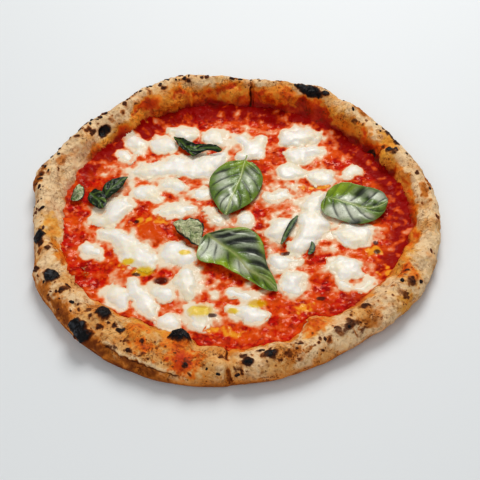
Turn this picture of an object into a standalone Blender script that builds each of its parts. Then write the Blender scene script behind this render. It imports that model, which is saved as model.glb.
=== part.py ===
"""Margherita pizza: a puffed, blistered crust, crushed tomato sauce, melted mozzarella and basil.

Everything is laid out in millimetres around the middle of the pizza, +X right and +Y away from
the front, and turned to metres where a mesh is made. The crust stands on z = 0.
"""

import math
import random

import bmesh
import bpy
import numpy as np
from mathutils import Vector
from mathutils.geometry import delaunay_2d_cdt

MM = 0.001
CLEARANCE = 0.3

# Crust: outer radius every 10 degrees from +X, rim foot radius every 15, rim height every 30
OUTER_RADIUS = (164, 162, 160, 159, 159, 159, 161, 156, 153, 157, 163, 165,
                162, 159, 164, 163.5, 170, 162, 158, 158, 162.5, 160, 159, 158.5,
                157.5, 156, 154, 151, 150, 149, 149, 150.5, 156, 159, 161, 161)
FOOT_RADIUS = (138, 136, 131, 129, 128, 128, 129, 133, 133, 131, 136, 135,
               131, 131, 127, 118, 111, 114, 120, 117, 114, 119, 126, 134)
RIM_HEIGHT = (19, 21, 25, 26, 27, 21, 17, 18, 18, 19, 20, 19)
FLOOR_TOP = 3.5
ANGLE_STEP = 2.5

# Cross-section of the rim, as fractions of its width (foot to outer edge) and of its height
RIM_SECTION = ((0.0, 0.0), (0.12, 0.26), (0.25, 0.55), (0.40, 0.83), (0.55, 0.99), (0.70, 1.0),
               (0.84, 0.86), (0.95, 0.64), (1.0, 0.42), (0.97, 0.20), (0.84, 0.05), (0.50, 0.0))
INNER_RINGS = 5

# The underside curls up off the table over a short stretch at the right
LIFT_ANGLE = 328
LIFT_SPREAD = 16
LIFT_HEIGHT = 2.5
LIFTED_BELOW = 0.7

# Creases left where a cutter went through the rim: angle, first ring, last ring, depth
CREASES = ((26, 1, 5, 2.5), (81, 1, 4, 2.0), (199, 4, 8, 2.5), (267, 1, 8, 4.0))
CREASE_HALF_ANGLE = 1.0

# Blisters: angle, ring, half length along the rim, half width across it, rise (or dent)
BLISTERS = (
    (22, 3.0, 9, 8, 4.0), (30, 6.0, 16, 9, 1.5), (30, 6.0, 9, 5, -3.0), (62, 5.5, 12, 6, 2.2),
    (50, 4.5, 10, 6, 0.9), (94, 4.8, 9, 7, 1.2), (108, 5.6, 14, 8, 1.6), (120, 4.0, 12, 7, 1.0),
    (134, 4.5, 11, 9, 2.2), (134, 4.5, 5, 5, -3.2), (147, 5.6, 10, 6, 1.0), (161, 6.4, 9, 6, 1.8),
    (172, 4.8, 12, 8, 0.9), (183, 5.6, 8, 6, 1.3), (199, 5.6, 7, 6, 1.8), (212, 6.0, 9, 7, 1.0),
    (220.5, 6.2, 12, 8, 2.8), (221, 2.6, 7, 5, 2.0), (229, 2.8, 4, 4, 1.0), (237, 5.6, 13, 8, 1.6),
    (249, 1.2, 9, 7, 4.5), (258, 5.0, 9, 7, 1.1), (273, 4.4, 6, 5, 1.3), (281, 4.4, 8, 5, 1.4),
    (291, 5.4, 10, 7, 1.0), (299, 0.9, 10, 8, 4.5), (309, 4.6, 10, 8, 1.5), (331, 5.0, 10, 7, 1.7),
    (343, 6.0, 12, 8, 1.0), (354, 5.0, 9, 7, 0.9),
)

# Lobes and hollows of the tall inner wall at the back, and the split low on the front left
LOBES = (
    (45, 2.8, 11, 9, 3.0), (56, 2.2, 7, 8, -1.5), (72, 3.0, 12, 8, 1.6), (88, 3.0, 11, 8, 1.2),
    (98, 2.6, 9, 9, -1.6), (112, 2.8, 14, 9, 2.6), (126, 3.2, 10, 8, 1.8), (243, 7.4, 16, 2.6, -1.6),
)
SMALL_BLISTERS = 34
SMALL_BLISTER_SEED = 7
BLISTER_RADIUS = 145
RING_SPACING = 6.5
UNDERSIDE_RELIEF = 0.2

# Fine waves over the rim: height, then waves per turn, lean per ring and phase
SURFACE_WOBBLE = 0.35
WOBBLE_WAVES = ((23, 1.7, 0.0), (37, -2.3, 1.0))

# Sauce: a thin slab on the crust's floor
SAUCE_BASE = FLOOR_TOP + CLEARANCE
SAUCE_TOP = 6.0
SAUCE_DIP = 0.8
SAUCE_GAP_AT_FOOT = 1.0
SAUCE_LAP_ON_RIM = 0.8
SAUCE_GRID = 11
SAUCE_EDGE_STEP = 6
SAUCE_EDGE_MARGIN = 6
SWELLING_MARGIN = 6

# Swellings of the sauced dough: x, y, half length, half width, turn in degrees, rise
SAUCE_SWELLINGS = ((-66, -5, 17, 9, -52, 2.6), (-86, -45, 10, 6, -20, 1.4),
                   (63, -84, 11, 7, 20, 2.0), (-118, 10, 9, 7, 60, 1.0))

# Cheese: it lies on the sauce; topping places are read where they show, a little above the floor
CHEESE_BASE = SAUCE_TOP + CLEARANCE
CHEESE_EDGE = 0.7
CHEESE_REACH = 6.0
CHEESE_GRID = 7.0
CHEESE_EDGE_STEP = 5.0
CHEESE_EDGE_MARGIN = 3.2
OVAL_CORNERS = 8
OVAL_UNEVENNESS = 0.09
SEEN_LIFT = 1.5

# Round melts: x, y, half length, half width, turn in degrees, rise
ROUND_MELTS = (
    (-79, 92, 12, 6.5, -65, 2.4), (-57, 89, 11, 9, -48, 2.2), (-39.5, 102.5, 12, 7.5, -30, 2.6),
    (-12, 96, 10, 8.5, -20, 1.6), (-88, 77, 8, 4.5, -50, 1.4), (-47, 42, 10, 6.5, -15, 2.0),
    (-47.5, 15, 15, 6, 8, 1.8), (-25, 31, 7, 6.5, -20, 1.8), (-15, 8, 9, 4.5, -45, 1.5),
    (48, 52, 12.5, 8.5, -28, 2.2), (74, 43.5, 11, 8.5, -8, 2.2), (99.5, 49.5, 8.5, 4.5, 20, 1.2),
    (37, 25.5, 10, 5, 0, 1.2), (36.5, -9, 11.5, 8, 62, 2.2), (11, 1, 7.5, 5.5, -50, 1.4),
    (83, -50, 12, 10, -32, 2.0), (42, -63, 12, 8.5, 68, 2.0), (-110, -24, 9.5, 6, -38, 2.0),
    (-37.5, -58, 14, 7, -82, 2.4), (-89, -69.5, 12, 7.5, -62, 2.2), (-54, -67, 9, 6, -25, 1.6),
    (-50, -94, 8.5, 6.5, -10, 2.2), (2.5, -71.5, 12, 4.5, -18, 1.3),
)

# Spread melts: rise, then the corners of the outline
SPREAD_MELTS = (
    (2.4, (2, 95), (9, 98), (18, 92), (29, 96), (32, 91), (27, 84), (26, 72), (16, 67), (7, 70), (9, 84)),
    (3.4, (43, 95), (49, 100), (62, 102), (76, 97), (75, 88), (66, 83), (50, 81.5)),
    (2.6, (46, 76), (53, 79.5), (75, 80), (76, 73), (67, 66), (61, 61.5), (50, 65)),
    (2.4, (-83, 60), (-72, 66), (-60, 70), (-47, 75), (-28, 72), (-12, 77), (-2, 76), (-5, 65),
     (-14, 55), (-27, 51), (-48, 53), (-70, 54)),
    (2.2, (-82, 37), (-74, 44), (-66, 41), (-58, 32), (-60, 27.5), (-70, 28)),
    (2.4, (-100, 28), (-90, 32), (-83, 29), (-80, 21), (-88, 11), (-95, 3), (-107, 4), (-114, 9),
     (-103, 16)),
    (3.0, (59, 21), (72, 28), (76, 22), (71, 5), (76, -8), (68, -19), (57, -27), (49, -37), (40, -34),
     (46, -20), (53, -8), (55, 8)),
    (2.4, (79, -11), (90, -8), (103, -10), (107, -20), (102, -28), (88, -27), (78, -19)),
    (1.6, (77, -63.5), (91, -67), (100, -61), (105, -63), (101, -72), (88, -74)),
    (1.6, (26, -34), (36, -36), (50, -42), (42, -45.5), (34, -51), (28, -46)),
    (2.6, (-106, -4), (-90, -6), (-78, -13), (-62, -28), (-60, -36), (-66, -44), (-84, -34),
     (-96, -17)),
    (2.4, (-58, -25), (-45, -18), (-34, -26), (-29, -36), (-36, -42), (-53, -39)),
    (2.0, (-79, -54), (-74, -54), (-68, -66), (-59, -81), (-62, -90), (-73, -81), (-79, -68)),
    (1.6, (-39, -88), (-31, -79), (-17, -80), (-20, -90), (-20, -98), (-32, -101)),
    (1.8, (-6, -83), (6, -81.5), (18, -87), (22, -94), (12, -100), (2, -93)),
)

# Basil: a blade of even thickness that lies on whatever is under it
BLADE_THICKNESS = 0.6
BLADE_LIFT = 0.5
BLADE_SEEN_LIFT = 3.0
BLADE_CLEARANCE_RADIUS = 2.5
NARROWEST_SHARE = 0.10

CRUST_COLOUR = (0.66, 0.43, 0.22)
SAUCE_COLOUR = (0.52, 0.045, 0.012)
CHEESE_COLOUR = (0.86, 0.78, 0.64)
FRESH_LEAF_COLOUR = (0.10, 0.21, 0.045)
PALE_LEAF_COLOUR = (0.27, 0.31, 0.17)
BURNT_LEAF_COLOUR = (0.018, 0.024, 0.016)


def clear_scene():
    for thing in list(bpy.data.objects):
        bpy.data.objects.remove(thing, do_unlink=True)


def make_material(name, colour, roughness):
    material = bpy.data.materials.new(name)
    material.use_nodes = True
    shader = material.node_tree.nodes["Principled BSDF"]
    shader.inputs["Base Color"].default_value = (*colour, 1.0)
    shader.inputs["Roughness"].default_value = roughness
    shader.inputs["Metallic"].default_value = 0.0
    material.diffuse_color = (*colour, 1.0)
    return material


def add_object(name, bm, material):
    """Turn a bmesh in millimetres into an object in metres, with its normals out."""
    bmesh.ops.recalc_face_normals(bm, faces=bm.faces)
    bmesh.ops.scale(bm, vec=(MM, MM, MM), verts=bm.verts)
    mesh = bpy.data.meshes.new(name)
    bm.to_mesh(mesh)
    bm.free()
    mesh.materials.append(material)
    mesh.shade_smooth()
    thing = bpy.data.objects.new(name, mesh)
    bpy.context.scene.collection.objects.link(thing)
    return thing


def around(values, degrees):
    """Read a closed row of values at an angle, on a smooth curve through them."""
    place = (degrees % 360) / 360 * len(values)
    first = int(place)
    t = place - first
    a, b, c, d = (values[(first + step) % len(values)] for step in (-1, 0, 1, 2))
    return b + 0.5 * t * (c - a + t * (2 * a - 5 * b + 4 * c - d + t * (3 * (b - c) + d - a)))


def smooth_outline(corners, step):
    """Points about one step apart on the closed curve through the corners."""
    fine = []
    count = len(corners)
    for i in range(count):
        a, b, c, d = (np.array(corners[(i + k) % count], float) for k in (-1, 0, 1, 2))
        for t in np.linspace(0, 1, 12, endpoint=False):
            fine.append(b + 0.5 * t * (c - a + t * (2 * a - 5 * b + 4 * c - d + t * (3 * (b - c) + d - a))))
    fine = np.array(fine + [fine[0]])
    run = np.concatenate([[0], np.cumsum(np.hypot(*np.diff(fine, axis=0).T))])
    places = np.linspace(0, run[-1], max(9, round(run[-1] / step)), endpoint=False)
    return np.stack([np.interp(places, run, fine[:, 0]), np.interp(places, run, fine[:, 1])], 1)


def edge_distance(outline, x, y):
    """Distance to a closed outline, positive inside it."""
    inside = False
    nearest = 1e9
    for (x0, y0), (x1, y1) in zip(outline, np.roll(outline, -1, axis=0)):
        if (y0 > y) != (y1 > y) and x < (x1 - x0) * (y - y0) / (y1 - y0) + x0:
            inside = not inside
        share = ((x - x0) * (x1 - x0) + (y - y0) * (y1 - y0)) / ((x1 - x0) ** 2 + (y1 - y0) ** 2)
        share = min(1.0, max(0.0, share))
        nearest = min(nearest, math.hypot(x - x0 - share * (x1 - x0), y - y0 - share * (y1 - y0)))
    return nearest if inside else -nearest


def slab(outline, grid, margin, base, top_of):
    """A closed slab: flat below at one height, with a top surface over a grid of inner points."""
    lows = outline.min(axis=0)
    highs = outline.max(axis=0)
    points = [Vector(p) for p in outline]
    rows = np.arange(lows[1], highs[1], grid * math.sin(math.radians(60)))
    for row, y in enumerate(rows):
        for x in np.arange(lows[0] + (row % 2) * grid / 2, highs[0], grid):
            if edge_distance(outline, x, y) > margin:
                points.append(Vector((x, y)))
    count = len(outline)
    rim = [(i, (i + 1) % count) for i in range(count)]
    flat, _, faces, _, _, _ = delaunay_2d_cdt(points, rim, [], 1, 1e-5)
    bm = bmesh.new()
    upper = [bm.verts.new((p.x, p.y, top_of(p.x, p.y, i < count))) for i, p in enumerate(flat)]
    for face in faces:
        bm.faces.new([upper[i] for i in face])
    lower = [bm.verts.new((flat[i].x, flat[i].y, base)) for i in range(count)]
    for i, j in rim:
        bm.faces.new((upper[i], upper[j], lower[j], lower[i]))
    floor = bm.faces.new(lower)
    bmesh.ops.triangulate(bm, faces=[floor])
    return bm


def foot_radius(degrees):
    return around(FOOT_RADIUS, degrees)


def rim_point(degrees, ring):
    """Radius and height of a ring on the rim, before blisters."""
    foot = foot_radius(degrees)
    width = around(OUTER_RADIUS, degrees) - foot
    height = around(RIM_HEIGHT, degrees)
    across, up = RIM_SECTION[ring]
    inner_side = ring < INNER_RINGS
    z = FLOOR_TOP + up * (height - FLOOR_TOP) if inner_side else up * height
    if not inner_side and 0 < up < LIFTED_BELOW:
        turned = (degrees - LIFT_ANGLE + 180) % 360 - 180
        z += LIFT_HEIGHT * math.exp(-(turned / LIFT_SPREAD) ** 2)
    return foot + across * width, z


def rim_angles():
    """Even steps round the rim, with three close ones at each crease."""
    angles = list(np.arange(0.0, 360.0, ANGLE_STEP))
    for crease, *_ in CREASES:
        angles = [a for a in angles if abs(a - crease) > 1.4 * CREASE_HALF_ANGLE]
        angles += [crease - CREASE_HALF_ANGLE, float(crease), crease + CREASE_HALF_ANGLE]
    return sorted(angles)


def all_blisters():
    rng = random.Random(SMALL_BLISTER_SEED)
    small = []
    for _ in range(SMALL_BLISTERS):
        small.append((rng.uniform(0, 360), rng.uniform(2.5, 8.5), rng.uniform(3.5, 7),
                      rng.uniform(3, 5), rng.uniform(0.4, 1.1)))
    return list(BLISTERS + LOBES) + small


def crust_rings():
    """The rim's points as an array of angle by ring, in millimetres."""
    angles = rim_angles()
    rings = len(RIM_SECTION)
    points = np.zeros((len(angles), rings, 3))
    for i, degrees in enumerate(angles):
        for ring in range(rings):
            radius, z = rim_point(degrees, ring)
            turn = math.radians(degrees)
            points[i, ring] = (radius * math.cos(turn), radius * math.sin(turn), z)
    along = np.roll(points, -1, axis=0) - np.roll(points, 1, axis=0)
    across = np.gradient(points, axis=1)
    normals = np.cross(across, along)
    normals /= np.linalg.norm(normals, axis=2, keepdims=True)
    rise = np.zeros(points.shape[:2])
    ring_place = np.arange(rings)
    for degrees, ring, half_long, half_wide, height in all_blisters():
        turned = (np.array(angles) - degrees + 180) % 360 - 180
        u = np.radians(turned)[:, None] * BLISTER_RADIUS / half_long
        v = (ring_place - ring)[None, :] * RING_SPACING / half_wide
        rise += height * np.exp(-(u * u + v * v))
    for i, degrees in enumerate(angles):
        for waves, lean, phase in WOBBLE_WAVES:
            rise[i] += SURFACE_WOBBLE * np.sin(waves * math.radians(degrees) + lean * ring_place + phase)
        for crease, first, last, depth in CREASES:
            if degrees == crease:
                rise[i, first:last + 1] -= depth
    rise[:, 0] = 0
    rise[:, -1] = 0
    rise[:, -2] = np.clip(rise[:, -2], -UNDERSIDE_RELIEF, UNDERSIDE_RELIEF)
    return points + normals * rise[:, :, None]


def build_crust(rings, centre, material):
    """The rim's rings, closed by the floor inside the foot and by the flat underside."""
    bm = bmesh.new()
    moved = rings - np.array((*centre, 0.0))
    verts = [[bm.verts.new(p) for p in row] for row in moved]
    count = len(verts)
    for i in range(count):
        here = verts[i]
        there = verts[(i + 1) % count]
        for ring in range(len(here) - 1):
            bm.faces.new((here[ring], here[ring + 1], there[ring + 1], there[ring]))
    floor_middle = bm.verts.new((-centre[0], -centre[1], FLOOR_TOP))
    under_middle = bm.verts.new((0.0, 0.0, 0.0))
    for i in range(count):
        here = verts[i]
        there = verts[(i + 1) % count]
        bm.faces.new((floor_middle, here[0], there[0]))
        bm.faces.new((under_middle, there[-1], here[-1]))
    return add_object("crust", bm, material)


def oval(x, y, half_long, half_wide, turn, seed):
    """An uneven oval as outline corners."""
    rng = random.Random(seed)
    lean = math.radians(turn)
    corners = []
    for i in range(OVAL_CORNERS):
        angle = i * math.tau / OVAL_CORNERS
        size = 1 + rng.uniform(-OVAL_UNEVENNESS, OVAL_UNEVENNESS)
        u = half_long * size * math.cos(angle)
        v = half_wide * size * math.sin(angle)
        along = x + u * math.cos(lean) - v * math.sin(lean)
        up = y + u * math.sin(lean) + v * math.cos(lean)
        corners.append((along, up))
    return corners


def cheese_layout(centre):
    """Outline and rise of each melt, in the pizza's own millimetres."""
    shift = np.array((centre[0], centre[1] + SEEN_LIFT))
    melts = []
    for seed, (x, y, half_long, half_wide, turn, rise) in enumerate(ROUND_MELTS):
        corners = oval(x, y, half_long, half_wide, turn, seed)
        melts.append((smooth_outline(corners, CHEESE_EDGE_STEP) - shift, rise))
    for rise, *corners in SPREAD_MELTS:
        melts.append((smooth_outline(corners, CHEESE_EDGE_STEP) - shift, rise))
    return melts


def cheese_height(outline, rise, x, y):
    """Height of a melt's rounded top at a place inside its outline."""
    depth = min(1.0, max(0.0, edge_distance(outline, x, y)) / CHEESE_REACH)
    return CHEESE_BASE + CHEESE_EDGE + (rise - CHEESE_EDGE) * math.sqrt(1 - (1 - depth) ** 2)


def build_cheese(name, outline, rise, material):
    def top_of(x, y, on_edge):
        return CHEESE_BASE + CHEESE_EDGE if on_edge else cheese_height(outline, rise, x, y)

    bm = slab(outline, CHEESE_GRID, CHEESE_EDGE_MARGIN, CHEESE_BASE, top_of)
    return add_object(name, bm, material)


def build_sauce(centre, melts, material):
    """The sauce dips a little everywhere and swells only where no cheese lies near."""
    edge = []
    for degrees in np.arange(0, 360, SAUCE_EDGE_STEP):
        radius = foot_radius(degrees) - SAUCE_GAP_AT_FOOT
        turn = math.radians(degrees)
        edge.append((radius * math.cos(turn) - centre[0], radius * math.sin(turn) - centre[1]))
    outline = np.array(edge)

    def top_of(x, y, on_edge):
        if on_edge:
            return SAUCE_TOP
        waves = math.sin(0.11 * x + 0.05 * y) + math.sin(0.13 * y - 0.06 * x + 2)
        z = SAUCE_TOP - SAUCE_DIP * (0.5 + 0.25 * waves)
        clear = min(-edge_distance(melt, x, y) for melt, _ in melts)
        if clear > 0:
            for mid_x, mid_y, half_long, half_wide, turn, rise in SAUCE_SWELLINGS:
                lean = math.radians(turn)
                dx = x + centre[0] - mid_x
                dy = y + centre[1] + SEEN_LIFT - mid_y
                u = (dx * math.cos(lean) + dy * math.sin(lean)) / half_long
                v = (dy * math.cos(lean) - dx * math.sin(lean)) / half_wide
                z += rise * math.exp(-(u * u + v * v)) * min(1.0, clear / SWELLING_MARGIN)
        return z

    bm = slab(outline, SAUCE_GRID, SAUCE_EDGE_MARGIN, SAUCE_BASE, top_of)
    for vert in bm.verts:
        if vert.co.z == SAUCE_TOP:
            outward = Vector((vert.co.x + centre[0], vert.co.y + centre[1], 0)).normalized()
            vert.co += outward * SAUCE_LAP_ON_RIM
    return add_object("tomato_sauce", bm, material)


def ground_height(centre, melts, x, y):
    """Top of the sauce, the cheese or the rim's inner slope at a place."""
    z = SAUCE_TOP
    for outline, rise in melts:
        if edge_distance(outline, x, y) > -0.5:
            z = max(z, cheese_height(outline, rise, x, y))
    for mid_x, mid_y, half_long, half_wide, _, rise in SAUCE_SWELLINGS:
        near = math.hypot(x + centre[0] - mid_x, y + centre[1] - mid_y) / max(half_long, half_wide)
        z = max(z, SAUCE_TOP + rise * math.exp(-near * near))
    radius = math.hypot(x + centre[0], y + centre[1])
    degrees = math.degrees(math.atan2(y + centre[1], x + centre[0]))
    foot = foot_radius(degrees)
    if radius > foot - 1:
        z = max(z, FLOOR_TOP + 0.9 * (radius - foot + 3))
    return z


def build_blade(name, centre, melts, material, spine, left, right, rows, columns, bow=0.0,
                curl_left=0.0, curl_right=0.0, pucker=0.0, puckers=0):
    """A leaf: rows along its midrib, columns across it, both faces split alike.

    The half widths left and right run along the spine and taper to its ends. The curls raise
    the two edges, the bow raises the middle of the midrib, and puckers cross the blade.
    """
    shift = np.array((centre[0], centre[1] + BLADE_SEEN_LIFT))
    ends = [np.array(p, float) - shift for p in spine]
    ends = [2 * ends[0] - ends[1]] + ends + [2 * ends[-1] - ends[-2]]
    spans = len(spine) - 1
    grid = []
    for row in range(rows + 1):
        t = row / rows
        place = min(t * spans, spans - 1e-6)
        k = int(place)
        f = place - k
        a, b, c, d = ends[k:k + 4]
        point = b + 0.5 * f * (c - a + f * (2 * a - 5 * b + 4 * c - d + f * (3 * (b - c) + d - a)))
        slope = 0.5 * (c - a) + f * (2 * a - 5 * b + 4 * c - d) + 1.5 * f * f * (3 * (b - c) + d - a)
        side = np.array((-slope[1], slope[0])) / np.hypot(*slope)
        taper = max(NARROWEST_SHARE, math.sin(math.pi * (0.06 + 0.9 * t) ** 0.85))
        line = []
        for column in range(columns + 1):
            v = 2 * column / columns - 1
            half = left if v > 0 else right
            curl = curl_left if v > 0 else curl_right
            spot = point + side * half * taper * v
            rise = bow * math.sin(math.pi * t) + curl * taper * v * v
            rise += pucker * math.sin(puckers * math.pi * t - 2 * abs(v)) * abs(v)
            line.append((spot, rise))
        grid.append(line)
    turns = np.linspace(0, math.tau, 6, endpoint=False)
    ring = [(BLADE_CLEARANCE_RADIUS * math.cos(a), BLADE_CLEARANCE_RADIUS * math.sin(a)) for a in turns]
    ground = np.zeros((rows + 1, columns + 1))
    for row in range(rows + 1):
        for column in range(columns + 1):
            x, y = grid[row][column][0]
            near = [ground_height(centre, melts, x + dx, y + dy) for dx, dy in [(0, 0)] + ring]
            ground[row, column] = max(near)
    padded = np.pad(ground, 1, mode="edge")
    around_it = [padded[r:r + rows + 1, c:c + columns + 1] for r in range(3) for c in range(3)]
    ground = np.maximum.reduce(around_it)
    lowest = min(0.0, min(rise for line in grid for _, rise in line))
    bm = bmesh.new()
    layers = []
    for height in (0.0, BLADE_THICKNESS):
        layer = []
        for row in range(rows + 1):
            verts = []
            for column in range(columns + 1):
                (x, y), rise = grid[row][column]
                z = ground[row, column] + BLADE_LIFT + rise - lowest + height
                verts.append(bm.verts.new((x, y, z)))
            layer.append(verts)
        layers.append(layer)
    under, over = layers
    for row in range(rows):
        for column in range(columns):
            for layer in (under, over):
                a, b = layer[row][column], layer[row + 1][column]
                c, d = layer[row + 1][column + 1], layer[row][column + 1]
                bm.faces.new((a, b, c))
                bm.faces.new((a, c, d))
    border = [(row, 0) for row in range(rows)]
    border += [(rows, column) for column in range(columns)]
    border += [(row, columns) for row in range(rows, 0, -1)]
    border += [(0, column) for column in range(columns, 0, -1)]
    for (r0, c0), (r1, c1) in zip(border, border[1:] + border[:1]):
        bm.faces.new((under[r0][c0], under[r1][c1], over[r1][c1], over[r0][c0]))
    return add_object(name, bm, material)


def build_basil(centre, melts):
    fresh = make_material("fresh_basil", FRESH_LEAF_COLOUR, 0.42)
    pale = make_material("baked_basil", PALE_LEAF_COLOUR, 0.6)
    burnt = make_material("burnt_basil", BURNT_LEAF_COLOUR, 0.55)
    build_blade("basil_top", centre, melts, fresh, ((12, 69), (5, 43), (-4, 9)), 20, 23, 9, 6,
                bow=3.0, curl_left=-2.0, curl_right=-1.5, pucker=0.7, puckers=6)
    build_blade("basil_right", centre, melts, fresh, ((72, 22), (97, 14), (125, 6)), 21, 21, 9, 6,
                bow=1.5, curl_left=5.0, curl_right=-1.0, pucker=0.8, puckers=6)
    build_blade("basil_folded", centre, melts, fresh, ((-24, -16), (2, -32), (32, -70)), 21, 19, 10, 6,
                bow=4.0, curl_left=2.0, curl_right=-3.0, pucker=1.0, puckers=7)
    build_blade("basil_curled", centre, melts, pale, ((-41, 5), (-37, -8), (-28, -25)), 10, 11, 6, 4,
                bow=1.5, curl_left=3.0, curl_right=2.5, pucker=0.5, puckers=4)
    build_blade("basil_burnt_strip", centre, melts, burnt, ((-49, 100), (-34, 79), (-8, 82)), 5, 5, 7, 2,
                curl_left=1.5, curl_right=1.0, pucker=0.5, puckers=5)
    build_blade("basil_burnt_lobe", centre, melts, burnt, ((-114, 41), (-110, 30), (-102, 17)), 6, 8, 5, 2,
                curl_left=1.5, curl_right=2.0, pucker=0.4, puckers=3)
    build_blade("basil_burnt_blade", centre, melts, burnt, ((-103, 36), (-96, 43), (-84, 53)), 7, 6, 5, 2,
                curl_left=2.0, curl_right=1.0, pucker=0.4, puckers=3)
    build_blade("basil_bit_by_rim", centre, melts, pale, ((-124, 49), (-126, 38), (-127, 27)), 5, 5, 4, 2,
                curl_left=1.0, curl_right=1.0)
    build_blade("basil_thin_strip", centre, melts, burnt, ((51, 2), (46, -13), (36, -29)), 1.6, 1.6, 6, 2)
    build_blade("basil_small_edge", centre, melts, burnt, ((60, -26), (59, -33), (53, -38)), 2.4, 2.4, 4, 2)


def main():
    clear_scene()
    rings = crust_rings()
    flat = rings.reshape(-1, 3)
    centre = (flat[:, :2].min(axis=0) + flat[:, :2].max(axis=0)) / 2
    build_crust(rings, centre, make_material("baked_crust", CRUST_COLOUR, 0.75))
    melts = cheese_layout(centre)
    build_sauce(centre, melts, make_material("tomato_sauce", SAUCE_COLOUR, 0.3))
    cheese = make_material("mozzarella", CHEESE_COLOUR, 0.4)
    for number, (outline, rise) in enumerate(melts, start=1):
        build_cheese(f"mozzarella_{number:02d}", outline, rise, cheese)
    build_basil(centre, melts)
    return centre


main()
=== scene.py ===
import math
import random

import bmesh
import bpy
import numpy as np
from mathutils import Matrix, Vector, noise
from mathutils.bvhtree import BVHTree


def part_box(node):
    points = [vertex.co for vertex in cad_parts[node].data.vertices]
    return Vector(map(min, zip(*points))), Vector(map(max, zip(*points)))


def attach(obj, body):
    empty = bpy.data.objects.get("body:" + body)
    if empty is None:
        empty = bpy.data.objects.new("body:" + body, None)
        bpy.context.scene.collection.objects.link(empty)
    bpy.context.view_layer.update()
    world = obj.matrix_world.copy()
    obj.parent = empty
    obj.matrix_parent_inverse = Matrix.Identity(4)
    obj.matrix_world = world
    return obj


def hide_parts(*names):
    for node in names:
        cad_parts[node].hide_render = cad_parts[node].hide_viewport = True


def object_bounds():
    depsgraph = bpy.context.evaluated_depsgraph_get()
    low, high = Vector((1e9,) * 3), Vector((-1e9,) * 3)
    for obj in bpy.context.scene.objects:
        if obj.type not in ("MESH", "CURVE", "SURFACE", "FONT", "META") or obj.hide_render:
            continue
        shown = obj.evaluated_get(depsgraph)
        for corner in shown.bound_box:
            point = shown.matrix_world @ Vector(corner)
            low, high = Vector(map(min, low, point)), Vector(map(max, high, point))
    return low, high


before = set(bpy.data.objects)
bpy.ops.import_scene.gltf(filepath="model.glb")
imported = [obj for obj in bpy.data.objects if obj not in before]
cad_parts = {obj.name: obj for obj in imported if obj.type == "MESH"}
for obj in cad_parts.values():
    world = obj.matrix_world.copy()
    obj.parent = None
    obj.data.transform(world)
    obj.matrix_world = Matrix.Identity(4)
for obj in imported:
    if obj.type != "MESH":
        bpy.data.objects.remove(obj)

cad_low, cad_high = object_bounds()

# Crust
# One disc of leavened dough, stretched by hand so that its rim stays thick. In a very hot oven the
# rim puffs up and blisters, chars where it stands highest, and stays pale and floury elsewhere.
MM = 0.001
MIDDLE = np.array((-1.6, -4.4)) * MM
HUB_EDGES = 20
CRUST_LEVELS = 2
FLOOR_TOP = 3.6 * MM
RIM_ANGLES = 180
CREST_BLEND = 3
SHOWING_ABOVE = 5 * MM
RELIEF_FROM = 3.5 * MM
RELIEF_FULL = 9 * MM
FLOOR_INSIDE = 27 * MM

# Lumps and crags of the baked skin: size and height
CRUST_RELIEF = ((15.0, 1.2), (7.0, 0.6), (3.2, 0.34), (1.7, 0.16))
CRINKLE_SIZE = 8.0
CRINKLE_DEPTH = 0.55
INNER_FOLDS = 1.5
LOBE_PROUDNESS = 1.35

# How far up the inner wall the tomato stains it, as a share of its height, every 30 degrees from +X
STAIN_REACH = (0.70, 0.85, 0.85, 0.90, 0.85, 0.28, 0.12, 0.35, 0.70, 0.45, 0.50, 0.60)

# How deep that stain's colour is, at the same angles
STAIN_DEPTH = (0.7, 0.9, 1.0, 1.0, 1.0, 0.6, 0.35, 0.4, 0.5, 0.45, 0.45, 0.6)

# How brown the outer side is near its bottom, at the same angles: browning from the oven floor, and painted shade where
# it meets the floor
UNDER_BROWN = (0.3, 0.2, 0.2, 0.2, 0.2, 0.3, 0.6, 1.1, 1.2, 1.1, 0.9, 0.6)

# Where more flour is left on the rim, every 30 degrees from +X
FLOUR_MORE = (1.2, 0.9, 0.5, 0.4, 0.7, 1.3, 1.3, 0.2, -0.4, 0.2, 0.6, 0.9)

# Lobes and hollows: place, half length along the rim, half width across it, rise
LOBES = (
    (97, 97, 19.5, 14, 10, 3), (102, 76, 6, 6, 9, -3), (117, 70, 15.5, 7, 8, 2.6), (117, 52, 7, 5, 8, -2.6),
    (126.7, 48.4, 13, 8, 7, 3.2), (136, 30, 12, 10, 7, 1.6), (-34, 131, 15, 2.2, 10, 2.4),
    (-55, 127, 15, 12, 9, 2.2), (-15, 131, 12, 13, 9, -2.2), (20, 131, 16, 1.4, 9, -2.8), (40, 127, 17, 11, 8, 1.8),
    (62, 120, 13, 8, 8, -1.8), (-86, 107, 12, 10, 7, 1.8), (-106, 92, 18, 7, 5, -1.6), (53, -107, 11, 9, 7, 3.4),
    (-43, -121, 13, 10, 8, 3.6), (-68, -117, 15, 16, 9, 2.6), (-97, -97, 16, 9, 6, 1.8), (-140, -38, 15, 10, 8, 1.8),
    (-129, -66, 14, 12, 8, 1.6), (28, -128, 16, 16, 7, 1.2), (-15, -127, 15, 14, 8, 1.4), (84, -110, 18, 14, 8, 1.4),
    (118, -84, 17, 10, 8, 1.6), (139, -58, 16, 9, 9, 2), (-150, 20, 16, 14, 7, 1), (-128, 80, 18, 12, 7, 1.4),
    (49.5, 123.3, 20.9, 8, 6, 2), (35, 124, 12, 5, 6, -2), (-1.3, 131.3, 16.5, 13, 5, 2),
    (126.5, -56.4, 12.8, 9, 7, 2.6), (129, -34, 9, 5, 6, -1.6), (54.3, -115.2, 14.7, 9, 7, 2.4),
    (-47.7, 125.9, 13.5, 9, 6, 2.2), (112, 66, 10, 4, 7, -2.4), (131, 18, 12, 9, 6, 2.2),
)

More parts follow.
